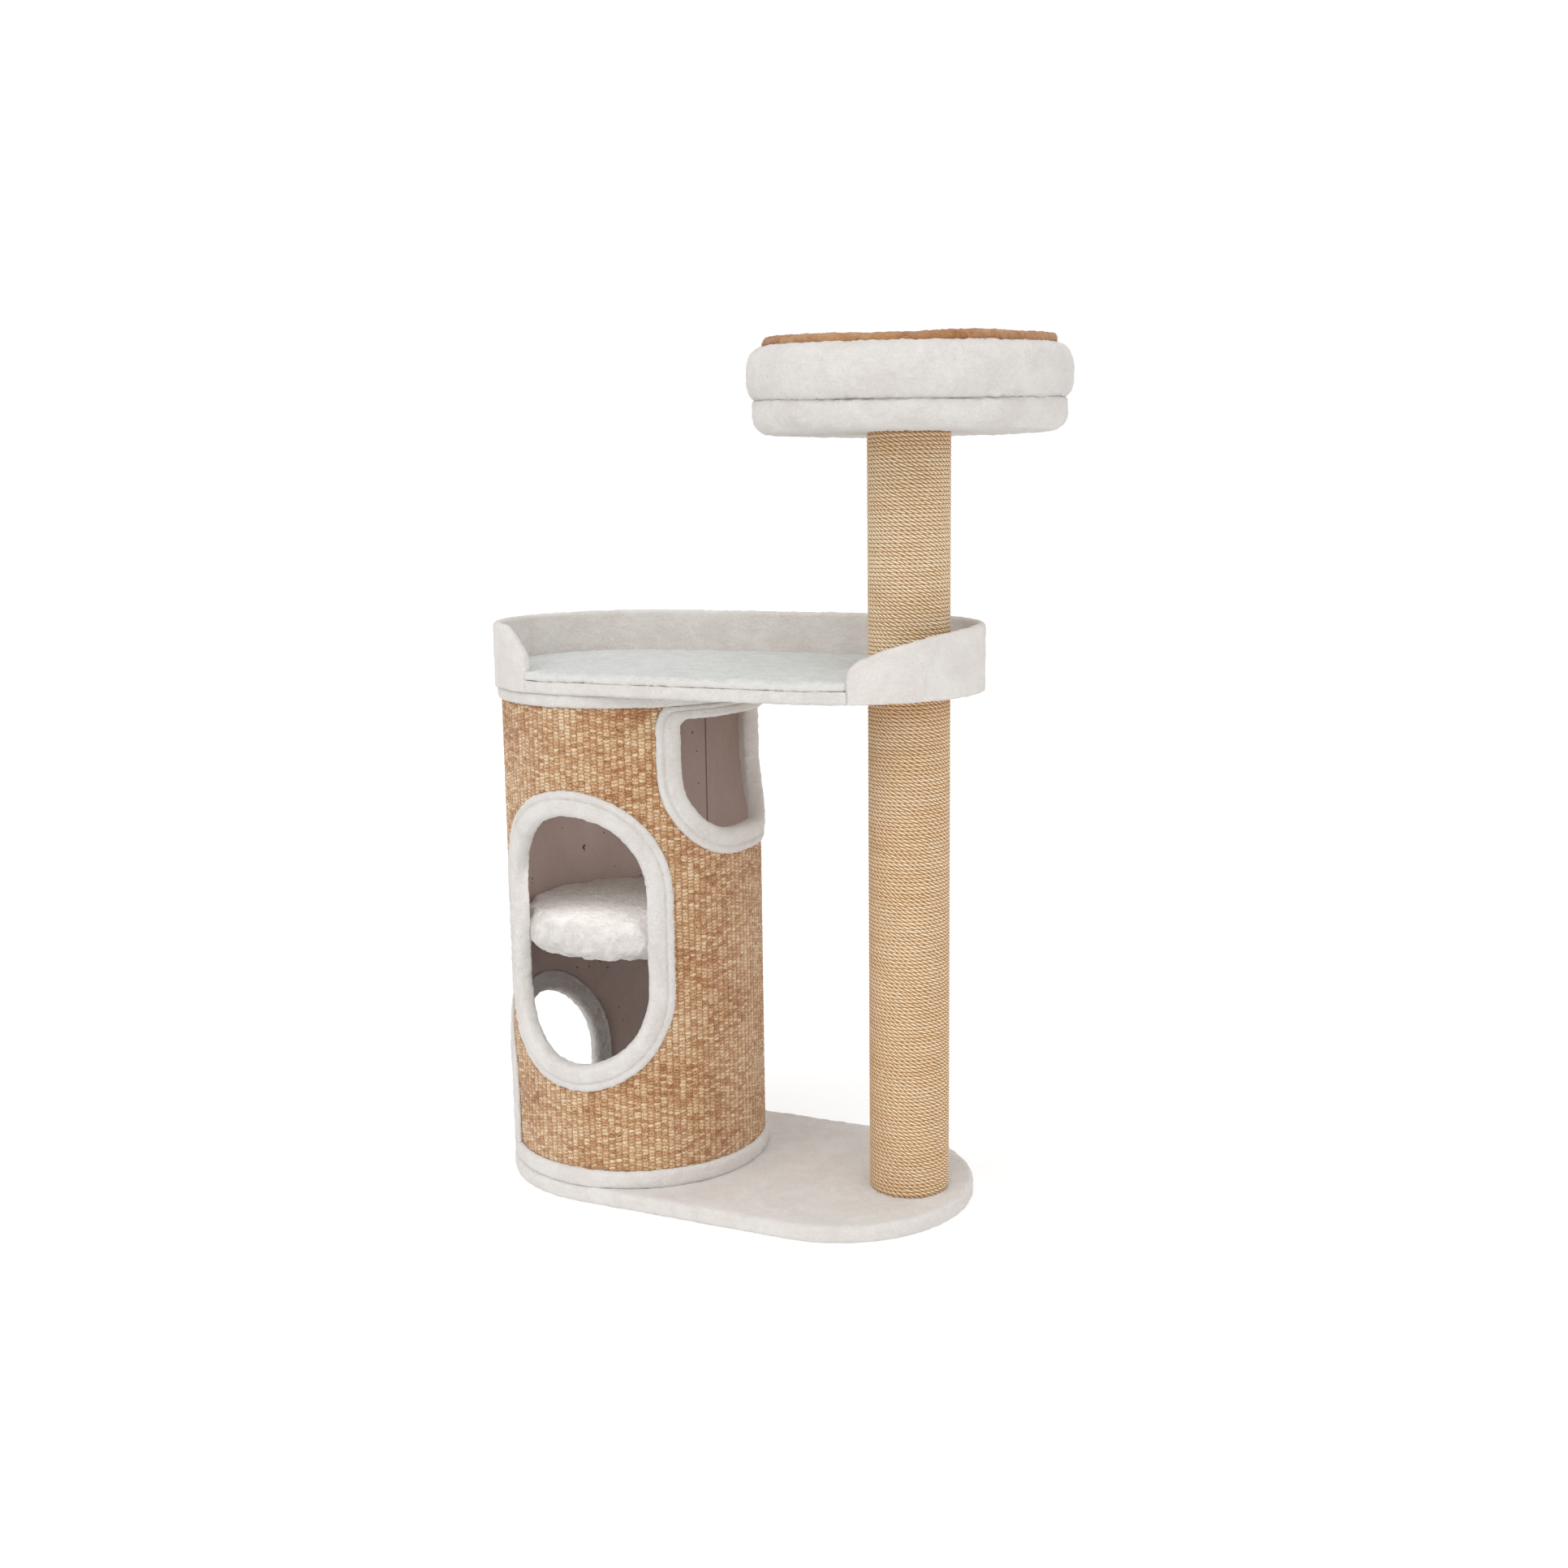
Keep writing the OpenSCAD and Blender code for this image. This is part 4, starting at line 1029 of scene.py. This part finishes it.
x = wall_x + mid_r * np.cos(wall_angle)
ahead = np.sin(wall_angle) < 0
rise_left = np.clip((LEFT_END_X - x) / LEFT_RISE, 0, 1)
rise_right = np.clip((x - RIGHT_END_X) / (wall_high.x - RIGHT_END_X), 0, 1)
rise = np.where(ahead, np.where(wall_x < 0, rise_left, rise_right), 1.0) ** RISE_POWER
walk = np.r_[0, np.cumsum(np.hypot(np.diff(x), np.diff(mid_r * np.sin(wall_angle))))]
to_end = np.minimum(walk, walk[-1] - walk)
from_corner = np.clip(CORNER_R - to_end, 0, CORNER_R)
top = END_HEIGHT + (wall_h - END_HEIGHT) * rise - CORNER_R + np.sqrt(CORNER_R ** 2 - from_corner ** 2)
to_end = to_end / (WALL_T / 2)
thin = np.sqrt(np.clip(1 - (1 - np.clip(to_end, 0.02, 1)) ** 2, 0, 1))
# Each section point: offset across the wall, share of the straight side's height, and height above that side
turn = np.linspace(0, math.pi, 11)
half = WALL_T / 2
side_share = np.linspace(0, 1, 33)
zero = np.zeros_like(side_share)
section = np.concatenate([
    np.stack([zero + half, side_share, zero], -1),
    np.stack([half * np.cos(turn), np.ones_like(turn), half * np.sin(turn)], -1)[1:-1],
    np.stack([zero - half, side_share[::-1], zero], -1),
])
out = mid_r + section[:, :1] * thin
points = np.stack([
    wall_x + out * np.cos(wall_angle), out * np.sin(wall_angle),
    wall_low.z + 0.0003 + section[:, 1:2] * (top - half) + section[:, 2:] * thin,
], -1)
faces = grid_faces(*out.shape, closed_rows=True, closed_columns=False).tolist()
ends = np.arange(len(section)) * out.shape[1]
faces += [ends.tolist(), (ends + out.shape[1] - 1)[::-1].tolist()]
rim_plush = make_piece("rim_wall_plush", points.reshape(-1, 3), faces, "plush_cream", "rim_wall_cover")
raise_pile(rim_plush, 0.0011, 81)
rim_cream = fibre_finish(
    "rim_cream", (0.93, 0.895, 0.855), (0.80, 0.735, 0.69), 0.05, 0.0034, 0.0016, **PLUSH)
dress(rim_plush, rim_cream)
coat(kraft_card, "rim_wall_core")


# ---- Bed ----
# A padded round base on the upper post, a stuffed ring sewn on it, and a brown lift-out liner whose soft rim
# lies over the ring.

pad_low, pad_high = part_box("bed_pad_cover")
pad_r = (pad_high.x - pad_low.x) / 2
bed_x = (pad_low.x + pad_high.x) / 2
seam_z = pad_high.z
turn = np.radians(np.linspace(90, 0, 10))
# The cover stands 5 mm fuller than its CAD solid all round
pad_out = pad_r + 0.005
# From the middle of the top, over the pinched upper edge and the rounder lower one, to the middle underneath
pad_profile = np.concatenate([
    [(pad_out, seam_z - 0.0003)],
    np.stack([0.010 - 0.010 * np.cos(turn) ** 0.5, seam_z - 0.0105 + 0.0102 * np.sin(turn) ** 0.5], -1),
    np.stack([0.026 - 0.026 * np.cos(turn), pad_low.z + 0.0305 - 0.030 * np.sin(turn)], -1)[-2::-1],
    [(pad_out, pad_low.z + 0.0005)],
])
points, faces = round_ended(pad_profile, 0, 0, pad_out, 0.006)


SAG = 0.009
SAG_REACH = 0.2
SAG_WAY = (0.418, -0.909)


def sag(points, give):
    """The soft bed leans a little: a point is raised by give times half less its distance from the post,
    measured along SAG_WAY, towards the front and the right, in SAG_REACHes."""
    towards = (points[:, 0] - bed_x) * SAG_WAY[0] + points[:, 1] * SAG_WAY[1]
    return points + np.stack([0 * towards, 0 * towards, give * (0.5 - towards / SAG_REACH)], -1)


points = points + (bed_x, 0, 0)
lean = np.clip((points[:, 2] - pad_low.z) / (seam_z - pad_low.z), 0, 1) ** 2
points = sag(points, SAG * lean)
bed_pad = make_piece("bed_pad", points, faces, "plush_cream", "bed_pad_cover")


def at_edge(points):
    """The cover is free to swell round its edge only: the board and the ring hold its two faces flat."""
    return np.clip((np.hypot(points[:, 0] - bed_x, points[:, 1]) - pad_r + 0.04) / 0.03, 0.1, 1) * (
        points[:, 2] < seam_z - 0.004)


plump(bed_pad, 0.005, 4.0, 0.003, slack=0.04, held=at_edge)
raise_pile(bed_pad, 0.0015, 91)
dress(bed_pad, cream_plush)
coat(chipboard, "bed_board")

ring_low, ring_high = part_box("bed_bolster")
ring_out = (ring_high.x - ring_low.x) / 2
ring_w, ring_h = 0.066, ring_high.z - ring_low.z
turn = np.linspace(0, 2 * math.pi, 65)[:-1]
cosine, sine = np.cos(turn), np.sin(turn)
# The ring's section is an oval, round above and nearly square below, where it is pressed into the pad
ring_power = 2 / np.where(sine > 0, 2.4, 5.0)
half_w = ring_w / 2 - 0.001
half_h = ring_h / 2 + np.where(sine > 0, 0, 0.0015)
ring_section = np.stack([
    ring_out - ring_w / 2 + half_w * np.sign(cosine) * np.abs(cosine) ** ring_power,
    (ring_low.z + ring_high.z) / 2 + half_h * np.sign(sine) * np.abs(sine) ** ring_power,
], -1)
bolster = ring_piece("bolster", ring_section, ring_out, "plush_cream", "bed_bolster", 0.006)
put_points(bolster.data, sag(points_of(bolster.data), SAG))


def off_seam(points):
    """The ring is sewn down to the pad, so it swells at its sides and top only."""
    return np.clip((points[:, 2] - seam_z - 0.004) / 0.02, 0, 1)


plump(bolster, 0.005, 4.0, 0.0025, slack=0.04, held=off_seam)
raise_pile(bolster, 0.0017, 94)
dress(bolster, cream_plush)

liner_low, liner_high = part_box("bed_liner")
rim_r = (liner_high.x - liner_low.x) / 2
wall_r, hollow_r = 0.1588, 0.1498
foot_z, rim_top = liner_low.z, liner_high.z
floor_z, under_rim = foot_z + 0.022, rim_top - 0.0102
# Radius and height: out over the floor, up the hollow's wall, over the rim and down to the underside's middle
liner_profile = np.array([
    (0, floor_z), (0.120, floor_z), (0.138, floor_z + 0.002), (0.147, floor_z + 0.008),
    (hollow_r, floor_z + 0.018), (hollow_r + 0.0005, under_rim - 0.002),
    (hollow_r + 0.003, rim_top - 0.004), (hollow_r + 0.009, rim_top - 0.0006), (0.180, rim_top - 0.0002),
    (rim_r - 0.006, rim_top - 0.001), (rim_r - 0.0015, rim_top - 0.0035), (rim_r, under_rim + 0.001),
    (rim_r - 0.003, under_rim - 0.0024), (rim_r - 0.010, under_rim - 0.0008),
    (wall_r + 0.006, under_rim + 0.0002), (wall_r + 0.001, under_rim - 0.004), (wall_r, under_rim - 0.010),
    (wall_r, foot_z + 0.006), (wall_r - 0.003, foot_z + 0.001), (wall_r - 0.010, foot_z + 0.0002),
    (0, foot_z + 0.0002),
])
liner_profile[:, 0] = rim_r - liner_profile[:, 0]
points, faces = round_ended(liner_profile, 0, 0, rim_r, 0.006)
liner = make_piece("liner", points + (bed_x, 0, 0), faces, "plush_brown", "bed_liner", "bed_liner")
points = sag(points_of(liner.data), SAG)
# The rim waves up and down, and the walls below it do not
near_rim = np.clip((points[:, 2] - under_rim + 0.02) / 0.02, 0, 1)
wave = 0.0022 * soft_noise(points * (1, 1, 0), 0.06, 96) * near_rim
put_points(liner.data, points + np.stack([0 * wave, 0 * wave, wave], -1))
plump(liner, 0.0042, 1.5, 0.0015, slack=0.03)
raise_pile(liner, 0.0018, 97)
brown_plush = fibre_finish(
    "brown_plush", (0.66, 0.37, 0.175), (0.36, 0.135, 0.04), 0.04, 0.0034, 0.0018, **PLUSH)
dress(liner, brown_plush)


# ---- Fasteners ----
# Zinc-plated steel: wood screws through the boards and the wall, hexagon bolts with washers into the posts
# from below and above, a stud between the posts, and the threaded inserts in the plugs.

zinc_steel = fibre_finish(
    "zinc_steel", (0.62, 0.63, 0.65), (0.48, 0.49, 0.50), 0.012, 0.001, 0.00003, 0.35, (1, 1, 0.2),
    Metallic=1.0)
coat(
    zinc_steel, "post_inserts", "base_post_bolt", "base_post_washer", "platform_stud", "bed_bolt",
    "bed_washer", "rim_wall_screws", "shelf_screws", "barrel_hoop_screws", "barrel_base_screws",
    "barrel_platform_screws",
)
